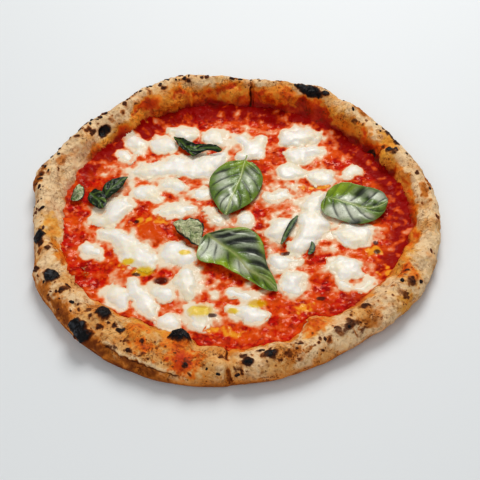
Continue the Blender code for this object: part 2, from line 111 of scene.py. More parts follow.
# The torn lip low on the front left, where a bubble has burst: places along it
LIP = ((-92, -127, 15.5), (-80, -134, 15), (-70.8, -139.1, 14.6), (-61, -143.5, 14), (-51, -147, 13.5))

# Burnt blisters: place, half length along the rim, half width across it, rise, darkness
CHARS = (
    (-114.2, -110, 15.9, 11.5, 6, 4.4, 1), (-138.4, -61.3, 17.7, 7, 6.5, 2.2, 1),
    (-152.9, -21, 15.8, 6.5, 5.5, 1.6, 1), (-98.5, -98, 16.5, 7, 5, 1.2, 0.98),
    (-85.6, -112.2, 17.2, 4, 3.2, 0.8, 0.9), (-43, -121.5, 15, 9, 5, 2.2, 0.96),
    (68.4, 123.7, 25.4, 14, 5, 1, 0.95), (82, 118, 24, 3.2, 3, 1.6, 0.9),
    (-106.4, 91.3, 18, 7.5, 4.6, -0.8, 0.88), (127.2, -81.5, 19.9, 6, 4.5, 1, 0.64),
    (79.4, -117.6, 20.1, 8, 4.5, 0.8, 0.62), (70.4, -122.3, 20.1, 5, 4, 0.5, 0.5),
    (86.4, -121, 16.3, 5, 3, 0.4, 0.62), (4.5, -144.5, 19.7, 4.8, 3.6, 0.8, 0.8),
    (20.7, -139.1, 20.1, 5.4, 3.6, 0.8, 0.8), (-126, -70, 15.5, 3.4, 2.6, 0.5, 0.8),
    (104, 88, 21, 5, 3, 0.6, 0.55), (114.2, 60, 9, 5, 5, 0, 0.7),
)

# Torn bubbles with burnt edges: place, half length, half width, depth
TEARS = ((128.5, 63.5, 20.6, 14, 7, 2),)

# Where oil has soaked the skin golden: place, half length, half width, strength, redness
GLAZED = (
    (-143.2, -12.3, 14.5, 13, 8, 0.9, 0.1), (-135, -36, 10.5, 14, 7, 0.9, 0.4),
    (-73.5, -113.8, 15.9, 13, 8, 0.9, 0.4), (-68.7, -126.9, 18.5, 11, 6, 0.8, 0.6),
    (-64.8, -109.1, 10.9, 14, 8, 0.9, 0.1), (-40.5, -140.4, 18.5, 13, 10, 1, 0.75),
    (-45, -128, 15, 12, 8, 0.9, 0.5), (-22, -118, 9, 11, 6, 0.8, 0.5),
    (129.2, -78.4, 20.3, 9, 7, 0.9, 0.4), (126.5, -56.4, 12.8, 15, 9, 0.9, 0.2),
    (122, -95, 14, 9, 6, 0.8, 0.2), (130, -30, 9, 13, 8, 0.9, 0.3),
    (54.3, -115.2, 14.7, 10, 9, 1, 0.5), (49, -124, 18, 9, 6, 0.8, 0.3),
    (30, -119, 7, 15, 6, 0.9, 0.3), (15.1, -125.6, 7.7, 12, 6, 0.9, 0.4), (49.5, 123.3, 20.9, 9, 7, 0.9, 0.6),
    (96.3, 88.8, 15.6, 13, 8, 1, 0.3), (104, 80, 12, 9, 7, 0.9, 0.2), (128.9, 63.7, 20.7, 9, 6, 0.9, 0),
    (-1.3, 131.3, 16.5, 15, 5, 0.9, 0.3), (-21.6, 131.5, 11.6, 12, 6, 0.8, 0.7), (34.9, 123.8, 15.5, 7, 6, 0.8, 0.8),
    (-47.7, 125.9, 13.5, 13, 7, 0.9, 0.4), (-78, 110, 14, 12, 6, 0.8, 0.3), (132, 18, 12, 14, 7, 0.9, 0.3),
    (128, 46, 15, 8, 6, 0.9, 0.1), (-104, 88, 10, 10, 6, 0.7, 0.1), (124, -69.6, 17.6, 8, 6, 1, 0.6),
)

# Where the skin is dry and drawn into fine folds: place, half length, half width
CREASED = ((40, -138.5, 19.3, 16, 8), (84, -119, 18, 12, 6), (96, -108, 18, 10, 6))

# Browned places, those low on the outer side at the front left partly painted shade: place, half length, half width,
# strength
TOASTED = (
    (-138, -31.5, 11.9, 10, 7, 0.95), (-158.6, 40.6, 16.1, 16, 6, 0.85), (-140.1, 58.4, 18.8, 8, 5, 0.6),
    (117, 51.4, 6, 7, 7, 0.95), (126.7, 48.4, 14, 7, 5, 0.9), (55.5, -97, 8, 10, 4, 0.9),
    (-104, -92, 16, 14, 7, 0.5), (-60, -133, 17, 26, 7, 0.3), (-75, -120, 17, 12, 8, 0.3),
    (151, 8, 17, 12, 5, 0.7), (153, 20, 14, 10, 4, 0.8), (96, -112, 18, 14, 7, 0.55),
    (110, 96, 21, 9, 4, 0.7), (-20, 148, 23, 10, 4, 0.5), (-45, 146, 22, 9, 4, 0.55),
    (20, 144, 22, 12, 4, 0.4), (-75, 132, 20, 12, 4, 0.5), (36, -138, 15, 12, 6, 0.6),
    (-104, -118, 9, 26, 9, 0.8), (-70, -138, 8, 26, 8, 0.9), (-146, -66, 9, 12, 8, 0.6),
    (-130, -92, 14, 20, 8, 0.9), (-107, -120, 11.5, 20, 8, 0.95), (-142, -72, 12, 13, 7, 0.7),
    (-154, -40, 9, 16, 6, 0.6), (-160, 10, 9, 20, 5, 0.5),
)

# Where a wheel has cut across the rim: places along each cut
CUTS = (
    ((-11, -128, 9), (-10.6, -130.7, 11), (-9.9, -137.3, 14.7), (-9.6, -147.6, 14), (-8.5, -153.5, 7.9)),
    ((19.4, 134, 22), (18.8, 132.3, 20.4), (18.6, 128.4, 12.3), (18, 124, 6)),
)

# Small scorched specks, more of them on some stretches: from angle, to angle, how many
SPECKS = ((120, 150, 40), (150, 215, 34), (215, 235, 26), (235, 300, 64), (300, 335, 44), (335, 400, 12), (60, 120, 30))
SPECK_SEED = 11
SPECK_BAND = (-9, 13)
SPECK_REACH = 12 * MM

# Burnt places fainter than this have soft, broken edges
MILD_CHAR = 0.7


def node_shape(name):
    """A copy of a solid of the frame, with its corners merged."""
    bm = bmesh.new()
    bm.from_mesh(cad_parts[name].data)
    bmesh.ops.remove_doubles(bm, verts=bm.verts, dist=1e-6)
    bm.normal_update()
    return bm


def add_piece(bm, name):
    """Turn a bmesh into a smooth-shaded object at the origin."""
    mesh = bpy.data.meshes.new(name)
    bm.to_mesh(mesh)
    bm.free()
    mesh.shade_smooth()
    piece = bpy.data.objects.new(name, mesh)
    bpy.context.scene.collection.objects.link(piece)
    return piece


def apply_modifiers(piece):
    graph = bpy.context.evaluated_depsgraph_get()
    mesh = bpy.data.meshes.new_from_object(piece.evaluated_get(graph))
    piece.modifiers.clear()
    piece.data = mesh


def read_points(mesh):
    points = np.zeros(len(mesh.vertices) * 3)
    mesh.vertices.foreach_get("co", points)
    return points.reshape(-1, 3)


def read_normals(mesh):
    normals = np.zeros(len(mesh.vertices) * 3)
    mesh.vertex_normals.foreach_get("vector", normals)
    return normals.reshape(-1, 3)


def write_points(mesh, points):
    mesh.vertices.foreach_set("co", points.ravel())
    mesh.update()


def write_share(mesh, name, values):
    """Keep a value from 0 to 1 at each point, for the material to read."""
    attribute = mesh.attributes.new(name, "FLOAT", "POINT")
    attribute.data.foreach_set("value", np.clip(values, 0, 1).astype(np.float32))


def lumps(points, size, seed=0.0):
    """Smooth noise, about -1 to 1, whose lumps are size millimetres across."""
    scale = 1 / (size * MM)
    shift = Vector((seed * 7.31, seed * -3.17, seed * 5.77))
    return np.array([1.6 * noise.noise(Vector(p) * scale + shift) for p in points])


def step(values, low, high):
    """Smooth step from 0 at low to 1 at high."""
    t = np.clip((values - low) / (high - low), 0, 1)
    return t * t * (3 - 2 * t)


def around(values, angles):
    """Read a closed row of values, evenly spaced from +X, at angles in degrees."""
    places = np.linspace(0, 360, len(values) + 1)
    return np.interp(np.mod(angles, 360), places, list(values) + [values[0]])


bm = node_shape("crust")
hubs = [v for v in bm.verts if len(v.link_edges) > HUB_EDGES]
bmesh.ops.dissolve_verts(bm, verts=hubs)
bmesh.ops.join_triangles(
    bm, faces=[f for f in bm.faces if len(f.verts) == 3],
    angle_face_threshold=math.radians(60), angle_shape_threshold=math.radians(80),
)
crust = add_piece(bm, "baked_crust")
smoothing = crust.modifiers.new("smoothing", "SUBSURF")
smoothing.levels = CRUST_LEVELS
smoothing.render_levels = CRUST_LEVELS
apply_modifiers(crust)
bm = bmesh.new()
bm.from_mesh(crust.data)
showing = [f for f in bm.faces if f.calc_center_median().z > SHOWING_ABOVE]
bmesh.ops.subdivide_edges(
    bm, edges=list({e for f in showing for e in f.edges}), cuts=1, use_grid_fill=True,
)
bmesh.ops.recalc_face_normals(bm, faces=bm.faces)
bm.to_mesh(crust.data)
bm.free()
crust.data.shade_smooth()

crust_points = read_points(crust.data)
crust_normals = read_normals(crust.data)
from_middle = crust_points[:, :2] - MIDDLE
crust_radius = np.hypot(*from_middle.T)
crust_angle = np.degrees(np.arctan2(from_middle[:, 1], from_middle[:, 0])) % 360

# The crest of the rim at each angle parts the inner wall from the outer side
crest_radius = np.zeros(RIM_ANGLES)
crest_height = np.zeros(RIM_ANGLES)
angle_bin = (crust_angle / 360 * RIM_ANGLES).astype(int) % RIM_ANGLES
for number in range(RIM_ANGLES):
    members = np.nonzero(angle_bin == number)[0]
    top = members[np.argmax(crust_points[members, 2])]
    crest_radius[number] = crust_radius[top]
    crest_height[number] = crust_points[top, 2]
crest_radius, crest_height = (
    np.mean([np.roll(crest, k) for k in range(-CREST_BLEND, CREST_BLEND + 1)], axis=0)
    for crest in (crest_radius, crest_height)
)
past_crest = crust_radius - around(crest_radius, crust_angle)
up_wall = (crust_points[:, 2] - FLOOR_TOP) / (around(crest_height, crust_angle) - FLOOR_TOP)

warp = lumps(crust_points, 4.0, 3) + 0.5 * lumps(crust_points, 1.8, 4)
on_rim = step(crust_points[:, 2], RELIEF_FROM, RELIEF_FULL)
rise = np.zeros(len(crust_points))
for seed, (size, height) in enumerate(CRUST_RELIEF):
    rise += height * lumps(crust_points, size, seed)
crinkle = np.clip(1 - np.abs(lumps(crust_points, CRINKLE_SIZE, 9)) * 7, 0, 1)
crinkled_zone = step(lumps(crust_points, 22, 12), -0.1, 0.4)
rise -= CRINKLE_DEPTH * crinkle * crinkled_zone
inner = 1 - step(past_crest, -5 * MM, 1 * MM)
wall_form = INNER_FOLDS * inner * lumps(crust_points, 11, 14)


def spot(x, y, z, half_long, half_wide, raggedness, softness):
    """Share of each crust point inside an oval spot that lies on the skin near a place."""
    place = np.array((x, y, z)) * MM
    nearest = np.argmin(((crust_points - place) ** 2).sum(axis=1))
    offset = crust_points - crust_points[nearest]
    up = crust_normals[nearest]
    along = np.cross(up, np.array((crust_points[nearest, 0], crust_points[nearest, 1], 0.0)))
    along /= np.linalg.norm(along)
    u = offset @ along / (half_long * MM)
    v = offset @ np.cross(up, along) / (half_wide * MM)
    w = offset @ up / (max(half_long, half_wide) * MM)
    reach = np.sqrt(u * u + v * v + w * w) + raggedness * warp
    return 1 - step(reach, 1 - softness, 1 + 0.5 * softness)


def gap_to_line(line):
    """Distance of each crust point to a line through places, and its height above the nearest part."""
    corners = np.array(line) * MM
    gap = np.full(len(crust_points), np.inf)
    above = np.zeros(len(crust_points))
    for start, end in zip(corners, corners[1:]):
        run = end - start
        t = np.clip((crust_points - start) @ run / (run @ run), 0, 1)
        offset = crust_points - start - t[:, None] * run
        here = np.linalg.norm(offset, axis=1)
        closer = here < gap
        gap[closer] = here[closer]
        above[closer] = offset[closer, 2]
    return gap, above


for *oval, height in LOBES:
    wall_form += LOBE_PROUDNESS * height * spot(*oval, raggedness=0.1, softness=0.9)
rise += wall_form
creased = np.zeros(len(crust_points))
for oval in CREASED:
    creased = np.maximum(creased, spot(*oval, raggedness=0.3, softness=0.6))
crease_line = np.clip(1 - np.abs(lumps(crust_points, 5.0, 17)) * 5, 0, 1) * creased
rise -= 0.9 * crease_line

lip_gap, above_lip = gap_to_line(LIP)
lip_side = above_lip + 0.5 * MM * warp
along_lip = 1 - step(lip_gap, 5 * MM, 11 * MM)
below_lip = along_lip * step(-lip_side, 0.0, 0.9 * MM)
on_lip = along_lip * np.exp(-((lip_side - 0.7 * MM) / (0.8 * MM)) ** 2)
lip_shadow = along_lip * np.exp(-((lip_side + 0.8 * MM) / (0.7 * MM)) ** 2)
rise += 0.7 * on_lip - 2.2 * below_lip

char = np.zeros(len(crust_points))
for *oval, height, darkness in CHARS:
    mild = darkness < MILD_CHAR
    share = spot(*oval, raggedness=0.45 if mild else 0.16, softness=0.9 if mild else 0.4)
    rise += height * share
    char = np.maximum(char, darkness * share)

toast_and_shade = 0.25 * step(past_crest, 2 * MM, 18 * MM) * step(lumps(crust_points, 12, 21), -0.6, 0.9)
# The outer side is browned near its bottom, partly as painted shade where it meets the floor
low_outside = (1 - step(crust_points[:, 2], 3 * MM, 16 * MM)) * step(past_crest, 2 * MM, 8 * MM)
toast_and_shade += 0.8 * low_outside * around(UNDER_BROWN, crust_angle)
for *oval, strength in TOASTED:
    toast_and_shade = np.maximum(toast_and_shade, strength * spot(*oval, raggedness=0.35, softness=0.7))
for *oval, depth in TEARS:
    share = spot(*oval, raggedness=0.2, softness=0.55)
    torn_edge = np.exp(-((share - 0.42) / 0.34) ** 2) * step(lumps(crust_points, 8, 44), -0.5, 0.1)
    rise += 1.0 * torn_edge - depth * share
    toast_and_shade = np.maximum(toast_and_shade, 0.55 * share)
    char = np.maximum(char, torn_edge)
toast_and_shade = np.maximum(toast_and_shade, 0.85 * crease_line)
# Painted shade in the wheel cuts: each groove is browned, with a darker line down its middle
for line in CUTS:
    gap, _ = gap_to_line(line)
    cut = 1 - step(gap + 0.2 * MM * warp, 0.6 * MM, 2.2 * MM)
    rise -= 0.8 * cut
    toast_and_shade = np.maximum(toast_and_shade, 0.95 * cut)
    char = np.maximum(char, 0.5 * (1 - step(gap, 0.3 * MM, 1.3 * MM)))
glaze = np.zeros(len(crust_points))
red_glaze = np.zeros(len(crust_points))
for x, y, z, half_long, half_wide, strength, redness in GLAZED:
    share = strength * spot(x, y, z, 1.15 * half_long, 1.15 * half_wide, raggedness=0.35, softness=1.0)
    glaze = np.maximum(glaze, share)
    red_glaze = np.maximum(red_glaze, redness * share)


def place_by_crest(rng, first_angle, last_angle, nearest_out, farthest_out):
    """A random place beside the rim's crest: its angle, x and y."""
    angle = rng.uniform(first_angle, last_angle)
    outward = around(crest_radius, angle) + rng.uniform(nearest_out, farthest_out) * MM
    turn = math.radians(angle)
    return (angle, *(MIDDLE + outward * np.array((math.cos(turn), math.sin(turn)))))


rng = random.Random(SPECK_SEED)
for first_angle, last_angle, count in SPECKS:
    for _ in range(count):
        angle, x, y = place_by_crest(rng, first_angle, last_angle, *SPECK_BAND)
        size = 0.7 + 2.2 * rng.random() ** 2.2
        drawn_out = rng.uniform(0.0, 0.6)
        lean = rng.uniform(0, math.tau)
        place = np.array((x, y, around(crest_height, angle)))
        near = np.nonzero(((crust_points - place) ** 2).sum(axis=1) < SPECK_REACH ** 2)[0]
        if len(near) == 0:
            continue
        middle = crust_points[near[np.argmin(((crust_points[near] - place) ** 2).sum(axis=1))]]
        offset = crust_points[near] - middle
        along = offset @ np.array((math.cos(lean), math.sin(lean), 0.0))
        gap = np.sqrt((offset ** 2).sum(axis=1) - drawn_out * along ** 2) / (size * MM) + 0.55 * warp[near]
        share = 1 - step(gap, 0.5, 1.2)
        darkness = rng.uniform(0.35, 0.85)
        halo = rng.uniform(0.2, 0.55)
        toast_and_shade[near] = np.maximum(toast_and_shade[near], halo * (1 - step(gap, 0.7, 1.9)))
        rise[near] += 0.35 * darkness * share
        char[near] = np.maximum(char[near], darkness * share * 0.8)

# Painted shade under the torn lip: the dough below it is browned, and a darker band runs just under its edge
toast_and_shade = np.maximum(toast_and_shade * (1 - on_lip), 0.35 * below_lip)
char = np.maximum(char, 0.55 * lip_shadow)
reach = around(STAIN_REACH, crust_angle) + 0.16 * lumps(crust_points, 14, 31) + 0.07 * warp
stain_depth = around(STAIN_DEPTH, crust_angle)
# Painted shade and light by relief: the tomato stain is made deeper in the hollows between lobes and fainter on their
# bulges
folded = np.clip(wall_form, -1.5, 4)
stain_and_shade = inner * (1 - step(up_wall, reach - 0.25, reach + 0.1)) * stain_depth * (1 - 0.16 * folded)
dusting = lumps(crust_points, 18, 41) + 0.3 * warp + around(FLOUR_MORE, crust_angle)
flour = np.maximum(step(dusting, -0.1, 0.9), on_lip) * (1 - stain_and_shade)

crust_points += crust_normals * (rise * on_rim * MM)[:, None]
crust_points = np.clip(crust_points, np.array(cad_low), np.array(cad_high))
on_floor = past_crest < -FLOOR_INSIDE
crust_points[on_floor, 2] = np.minimum(crust_points[on_floor, 2], FLOOR_TOP + 0.4 * MM)
write_points(crust.data, crust_points)
# Painted shade, with the tomato stain: the foot of the inner wall is darkened to deep tomato red, more in the hollows
# between lobes and where the stain is deep
foot = inner * (1 - step(up_wall, 0.05, 0.55)) * stain_depth * (1 - 0.3 * folded)
for name, values in (("char", char), ("toast_and_shade", toast_and_shade), ("stain_and_shade", stain_and_shade), ("wall_foot_stain_and_shade", foot), ("flour", flour),
                     ("glaze", glaze), ("red_glaze", red_glaze)):
    write_share(crust.data, name, values)


def tint(red, green, blue):
    """A colour as the eye sees it, 0 to 255, turned to the shader's own scale."""
    return (*((value / 255) ** 2.2 for value in (red, green, blue)), 1.0)


def put(tree, kind, inputs, **settings):
    """Add a shader node; an input may be a value or another node's output."""
    node = tree.nodes.new("ShaderNode" + kind)
    for name, value in settings.items():
        setattr(node, name, value)
    for socket, value in inputs.items():
        if isinstance(value, bpy.types.NodeSocket):
            tree.links.new(value, node.inputs[socket])
        else:
            node.inputs[socket].default_value = value
    return node


def share_of(tree, name):
    return put(tree, "Attribute", {}, attribute_name=name).outputs["Fac"]


def grain(tree, size, detail=3.0, roughness=0.5, distortion=0.0, shift=0.0):
    """Noise with lumps of a size in millimetres."""
    place = put(tree, "TexCoord", {}).outputs["Object"]
    moved = put(tree, "Mapping", {"Vector": place, "Location": (shift, -shift, shift)}).outputs[0]
    inputs = {"Vector": moved, "Scale": 1 / (size * MM), "Detail": detail}
    inputs.update({"Roughness": roughness, "Distortion": distortion})
    return put(tree, "TexNoise", inputs).outputs["Fac"]


def level(tree, value, low, high, result_low=0.0, result_high=1.0):
    """Smooth step of a value."""
    inputs = {0: value, 1: low, 2: high, 3: result_low, 4: result_high}
    return put(tree, "MapRange", inputs, interpolation_type="SMOOTHSTEP").outputs[0]


def reckon(tree, operation, first, second=0.0):
    return put(tree, "Math", {0: first, 1: second}, operation=operation).outputs[0]


def plus(tree, first, second):
    return reckon(tree, "ADD", first, second)


def times(tree, first, second):
    return reckon(tree, "MULTIPLY", first, second)


def broken(tree, name, pattern, amount):
    """A kept share with some of a pattern added, so that its edge breaks up."""
    return plus(tree, share_of(tree, name), times(tree, pattern, amount))


def layer(tree, share, under, over):
    """Lay one colour over another by a share."""
    return put(tree, "Mix", {0: share, 6: under, 7: over}, data_type="RGBA").outputs[2]


def coats(tree, colour, rows):
    """Lay colours in turn: pattern, where it begins and is full, its greatest share, the colour, what masks it."""
    for pattern, begins, full, most, over, *masks in rows:
        share = level(tree, pattern, begins, full, 0.0, most)
        for mask in masks:
            share = times(tree, share, mask)
        colour = layer(tree, share, colour, over)
    return colour


def new_finish(name, **values):
    """A material and its node tree and shader, with the shader's own values set."""
    material = bpy.data.materials.new(name)
    material.use_nodes = True
    shader = material.node_tree.nodes["Principled BSDF"]
    for socket, value in values.items():
        shader.inputs[socket.replace("_", " ")].default_value = value
    return material, material.node_tree, shader


def roughen(tree, shader, height, distance, strength=1.0):
    """Raise the surface a little by a height pattern; distance is in millimetres."""
    inputs = {"Height": height, "Distance": distance * MM, "Strength": strength}
    bump = put(tree, "Bump", inputs)
    tree.links.new(bump.outputs["Normal"], shader.inputs["Normal"])


def speckle_group():
    """Small round specks of uneven size and darkness, as on baked dough or browned cheese."""
    group = bpy.data.node_groups.new("specks", "ShaderNodeTree")
    group.interface.new_socket("Size", in_out="INPUT", socket_type="NodeSocketFloat")
    group.interface.new_socket("Amount", in_out="INPUT", socket_type="NodeSocketFloat")
    group.interface.new_socket("Mask", in_out="OUTPUT", socket_type="NodeSocketFloat")
    entry = group.nodes.new("NodeGroupInput")
    leave = group.nodes.new("NodeGroupOutput")
    place = put(group, "TexCoord", {}).outputs["Object"]
    per_metre = reckon(group, "DIVIDE", 1.0, entry.outputs["Size"])
    warped = put(group, "TexNoise", {"Vector": place, "Scale": 300.0, "Detail": 2.0}).outputs["Color"]
    bent = put(group, "VectorMath", {0: warped, "Scale": 0.002}, operation="SCALE").outputs[0]
    moved = put(group, "VectorMath", {0: place, 1: bent}, operation="ADD").outputs[0]
    cells = put(group, "TexVoronoi", {"Vector": moved, "Scale": per_metre, "Randomness": 1.0})
    patches = put(group, "TexNoise", {"Vector": place, "Scale": 90.0, "Detail": 2.0}).outputs["Fac"]
    limit = times(group, entry.outputs["Amount"], level(group, patches, 0.35, 0.7))
    kept = times(group, cells.outputs["Distance"], 1.6)
    tone = put(group, "SeparateColor", {0: cells.outputs["Color"]}).outputs[0]
    size = times(group, limit, tone)
    inside = reckon(group, "SUBTRACT", size, kept)
    group.links.new(level(group, inside, 0.0, 0.15), leave.inputs["Mask"])
    return group


specks_group = speckle_group()


def specks(tree, size, amount):
    node = tree.nodes.new("ShaderNodeGroup")
    node.node_tree = specks_group
    node.inputs["Size"].default_value = size * MM
    node.inputs["Amount"].default_value = amount
    return node.outputs["Mask"]


DOUGH = tint(230, 174, 108)
FLOURY = tint(246, 214, 170)
GOLDEN = tint(208, 126, 50)
BROWN = tint(112, 54, 20)
SCORCHED = tint(58, 28, 16)
BLACK = tint(20, 20, 23)
ASH_AND_SHEEN = tint(96, 100, 108)
GOLDEN_OIL = tint(232, 140, 40)
BISCUIT = tint(244, 200, 140)
YELLOW_GLAZE = tint(238, 176, 74)
ORANGE_OIL = tint(236, 116, 20)
DEEP_ORANGE = tint(208, 68, 6)
TOMATO_STAIN_AND_SHADE = tint(158, 18, 3)

crust_finish, tree, shader = new_finish("crust_finish", Roughness=0.72, Specular_IOR_Level=0.2)
fine = grain(tree, 2.6, detail=4.0)
broad = grain(tree, 11.0, shift=0.4)
mottle = grain(tree, 4.6, detail=4.0, roughness=0.62, distortion=0.5, shift=0.3)
floury = share_of(tree, "flour")
bare = level(tree, floury, 0.2, 0.9, 1.0, 0.3)
# The toast share carries browning, and painted shade under the torn lip, low on the outer side and in the wheel cuts
ragged = broken(tree, "toast_and_shade", mottle, 0.6)
# The stain share carries painted shade in the hollows of the inner wall as well as the tomato stain
oily_and_shade = plus(tree, share_of(tree, "stain_and_shade"), times(tree, reckon(tree, "SUBTRACT", broad, 0.22), 0.9))
soaked = broken(tree, "glaze", mottle, 0.4)
reddened = broken(tree, "red_glaze", fine, 0.5)
colour = coats(tree, layer(tree, floury, DOUGH, FLOURY), (
    (broad, 0.45, 0.75, 0.7, GOLDEN, bare), (fine, 0.52, 0.72, 0.6, GOLDEN, bare),
    (mottle, 0.48, 0.34, 0.75, BISCUIT), (mottle, 0.54, 0.68, 0.6, GOLDEN, bare),
    (mottle, 0.6, 0.72, 0.85, BROWN, bare), (ragged, 0.35, 1.0, 1.0, GOLDEN), (ragged, 0.8, 1.4, 1.0, BROWN),
    (oily_and_shade, 0.3, 0.6, 0.85, GOLDEN_OIL), (oily_and_shade, 0.6, 0.95, 0.9, ORANGE_OIL), (oily_and_shade, 0.8, 1.2, 0.9, DEEP_ORANGE),
    (oily_and_shade, 1.1, 1.45, 0.85, TOMATO_STAIN_AND_SHADE), (soaked, 0.25, 0.95, 0.85, YELLOW_GLAZE),
    (soaked, 0.7, 1.25, 0.85, GOLDEN_OIL), (reddened, 0.3, 0.65, 0.85, ORANGE_OIL),
    (reddened, 0.55, 0.9, 0.9, DEEP_ORANGE), (reddened, 0.85, 1.15, 0.8, TOMATO_STAIN_AND_SHADE),
    # Painted shade with the stain: the foot of the inner wall goes deep tomato red
    (share_of(tree, "wall_foot_stain_and_shade"), 0.0, 0.8, 0.97, TOMATO_STAIN_AND_SHADE),
))
colour = layer(tree, times(tree, specks(tree, 2.6, 0.75), times(tree, bare, 0.8)), colour, BROWN)
colour = layer(tree, times(tree, specks(tree, 1.3, 1.1), level(tree, ragged, 0.3, 0.8, 0.2, 0.8)), colour, BROWN)
folds = grain(tree, 9.0, detail=2.0, distortion=1.2, shift=0.6)
fold_line = level(tree, reckon(tree, "ABSOLUTE", reckon(tree, "SUBTRACT", folds, 0.5)), 0.0, 0.022, 1.0, 0.0)
fold_line = times(tree, fold_line, level(tree, grain(tree, 20.0, shift=0.9), 0.48, 0.62))
colour = layer(tree, times(tree, fold_line, times(tree, bare, 0.5)), colour, BROWN)
# The char share also carries painted shade under the torn lip and along the wheel cuts, laid on brown to black like the
# char
burnt = times(tree, share_of(tree, "char"), level(tree, mottle, 0.4, 0.6, 1.12, 0.8))
burnt = plus(tree, burnt, times(tree, fine, 0.4))
colour = coats(tree, colour, (
    (burnt, 0.34, 0.62, 0.85, BROWN), (burnt, 0.5, 0.85, 0.9, SCORCHED), (burnt, 0.78, 1.05, 1.0, BLACK),
))
# Painted sheen, with some ash: the blackest char gets a grey-blue cast in broad patches, standing in for its glossy
# highlights
ash_and_sheen = times(tree, level(tree, burnt, 1.0, 1.2), level(tree, broad, 0.5, 0.7, 0.0, 0.5))
colour = layer(tree, ash_and_sheen, colour, ASH_AND_SHEEN)
tree.links.new(colour, shader.inputs["Base Color"])
gloss = level(tree, reckon(tree, "MAXIMUM", oily_and_shade, soaked), 0.4, 1.1, 0.74, 0.46)
sheen = level(tree, burnt, 0.75, 1.1, 0.0, 0.4)
tree.links.new(reckon(tree, "SUBTRACT", gloss, sheen), shader.inputs["Roughness"])
skin = plus(tree, fine, times(tree, grain(tree, 0.9, detail=2.0), 0.5))
skin = reckon(tree, "SUBTRACT", skin, times(tree, fold_line, 0.8))
skin = plus(tree, skin, times(tree, mottle, 0.8))
roughen(tree, shader, skin, 1.0, 0.8)
crust.data.materials.append(crust_finish)
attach(crust, "root")
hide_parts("crust")

# Charred flakes
# Thin bubbles on the rim that burst and burnt in the oven, leaving small dark scales and blisters that
# stand up from the skin.
FLAKE_SEED = 23
FLAKE_LOWEST = 8 * MM
ABOVE_ALL = 60 * MM

# How many, from angle, to angle, from and to millimetres outside the crest
FLAKES = ((56, 118, 178, 1, 9), (10, 178, 215, -2, 9), (9, 225, 300, -8, 8), (5, 300, 345, -6, 8), (26, 60, 118, -1, 6),
          (8, 0, 60, -2, 6))

crust_tree = BVHTree.FromPolygons(crust_points.tolist(), [tuple(p.vertices) for p in crust.data.polygons])
flake_rng = random.Random(FLAKE_SEED)
bm = bmesh.new()
for count, *stretch in FLAKES:
    for _ in range(count):
        _, x, y = place_by_crest(flake_rng, *stretch)
        place, normal, _, _ = crust_tree.ray_cast(Vector((x, y, ABOVE_ALL)), Vector((0, 0, -1)))
        size = flake_rng.uniform(0.5, 1.5) * MM
        lengthening = flake_rng.uniform(1.0, 2.2)
        height = flake_rng.uniform(0.25, 0.7)
        spin = flake_rng.uniform(0, math.tau)
        if place is None or place.z < FLAKE_LOWEST:
            continue
        lie = normal.to_track_quat("Z", "Y").to_matrix().to_4x4() @ Matrix.Rotation(spin, 4, "Z")
        shape = Matrix.Diagonal((size * lengthening, size, size * height, 1.0))
        settled = Matrix.Translation(place) @ lie @ shape
        made = bmesh.ops.create_icosphere(bm, subdivisions=2, radius=1.0, matrix=settled)
        for vert in made["verts"]:
            push = noise.noise(vert.co / (1.1 * MM)) * 0.45 * size
            vert.co += (vert.co - place).normalized() * push
for vert in bm.verts:
    vert.co = Vector(np.clip(vert.co, cad_low, cad_high).tolist())
flakes = add_piece(bm, "charred_flakes")
flake_finish, tree, shader = new_finish("flake_finish", Roughness=0.6, Specular_IOR_Level=0.3)
colour = coats(tree, SCORCHED, (
    (grain(tree, 3.0), 0.42, 0.58, 1.0, BLACK), (grain(tree, 9.0, shift=0.2), 0.52, 0.62, 0.8, BROWN),
))
tree.links.new(colour, shader.inputs["Base Color"])
roughen(tree, shader, grain(tree, 0.8, detail=2.0), 0.4, 0.8)
flakes.data.materials.append(flake_finish)
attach(flakes, "root")

# Tomato sauce
# Hand-crushed tomatoes spread thin over the dough up to the rim's foot. Baking leaves a wet, lumpy
# pulp with orange oil in it, whey-pink where cheese has melted into it, and puffed places.
SAUCE_SPACING = 0.92 * MM
SAUCE_BOTTOM = 3.6 * MM
SAUCE_CLIMB = 9.0 * MM
FILM_TOP = 14.0 * MM
BUMP_BEYOND = 1.5 * MM
BUMP_HEIGHT = 2.4 * MM
PULP_SIZE = 4.6
CALM_LEVEL = 6.0 * MM
CALM_REACH = 3.0 * MM
FILM_REACH = 12 * MM
SUNK_UNDER_WALL = 1.5 * MM
UNDERSIDE_MARK = -1.0
CHEESE_NODES = sorted(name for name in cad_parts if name.startswith("mozzarella"))

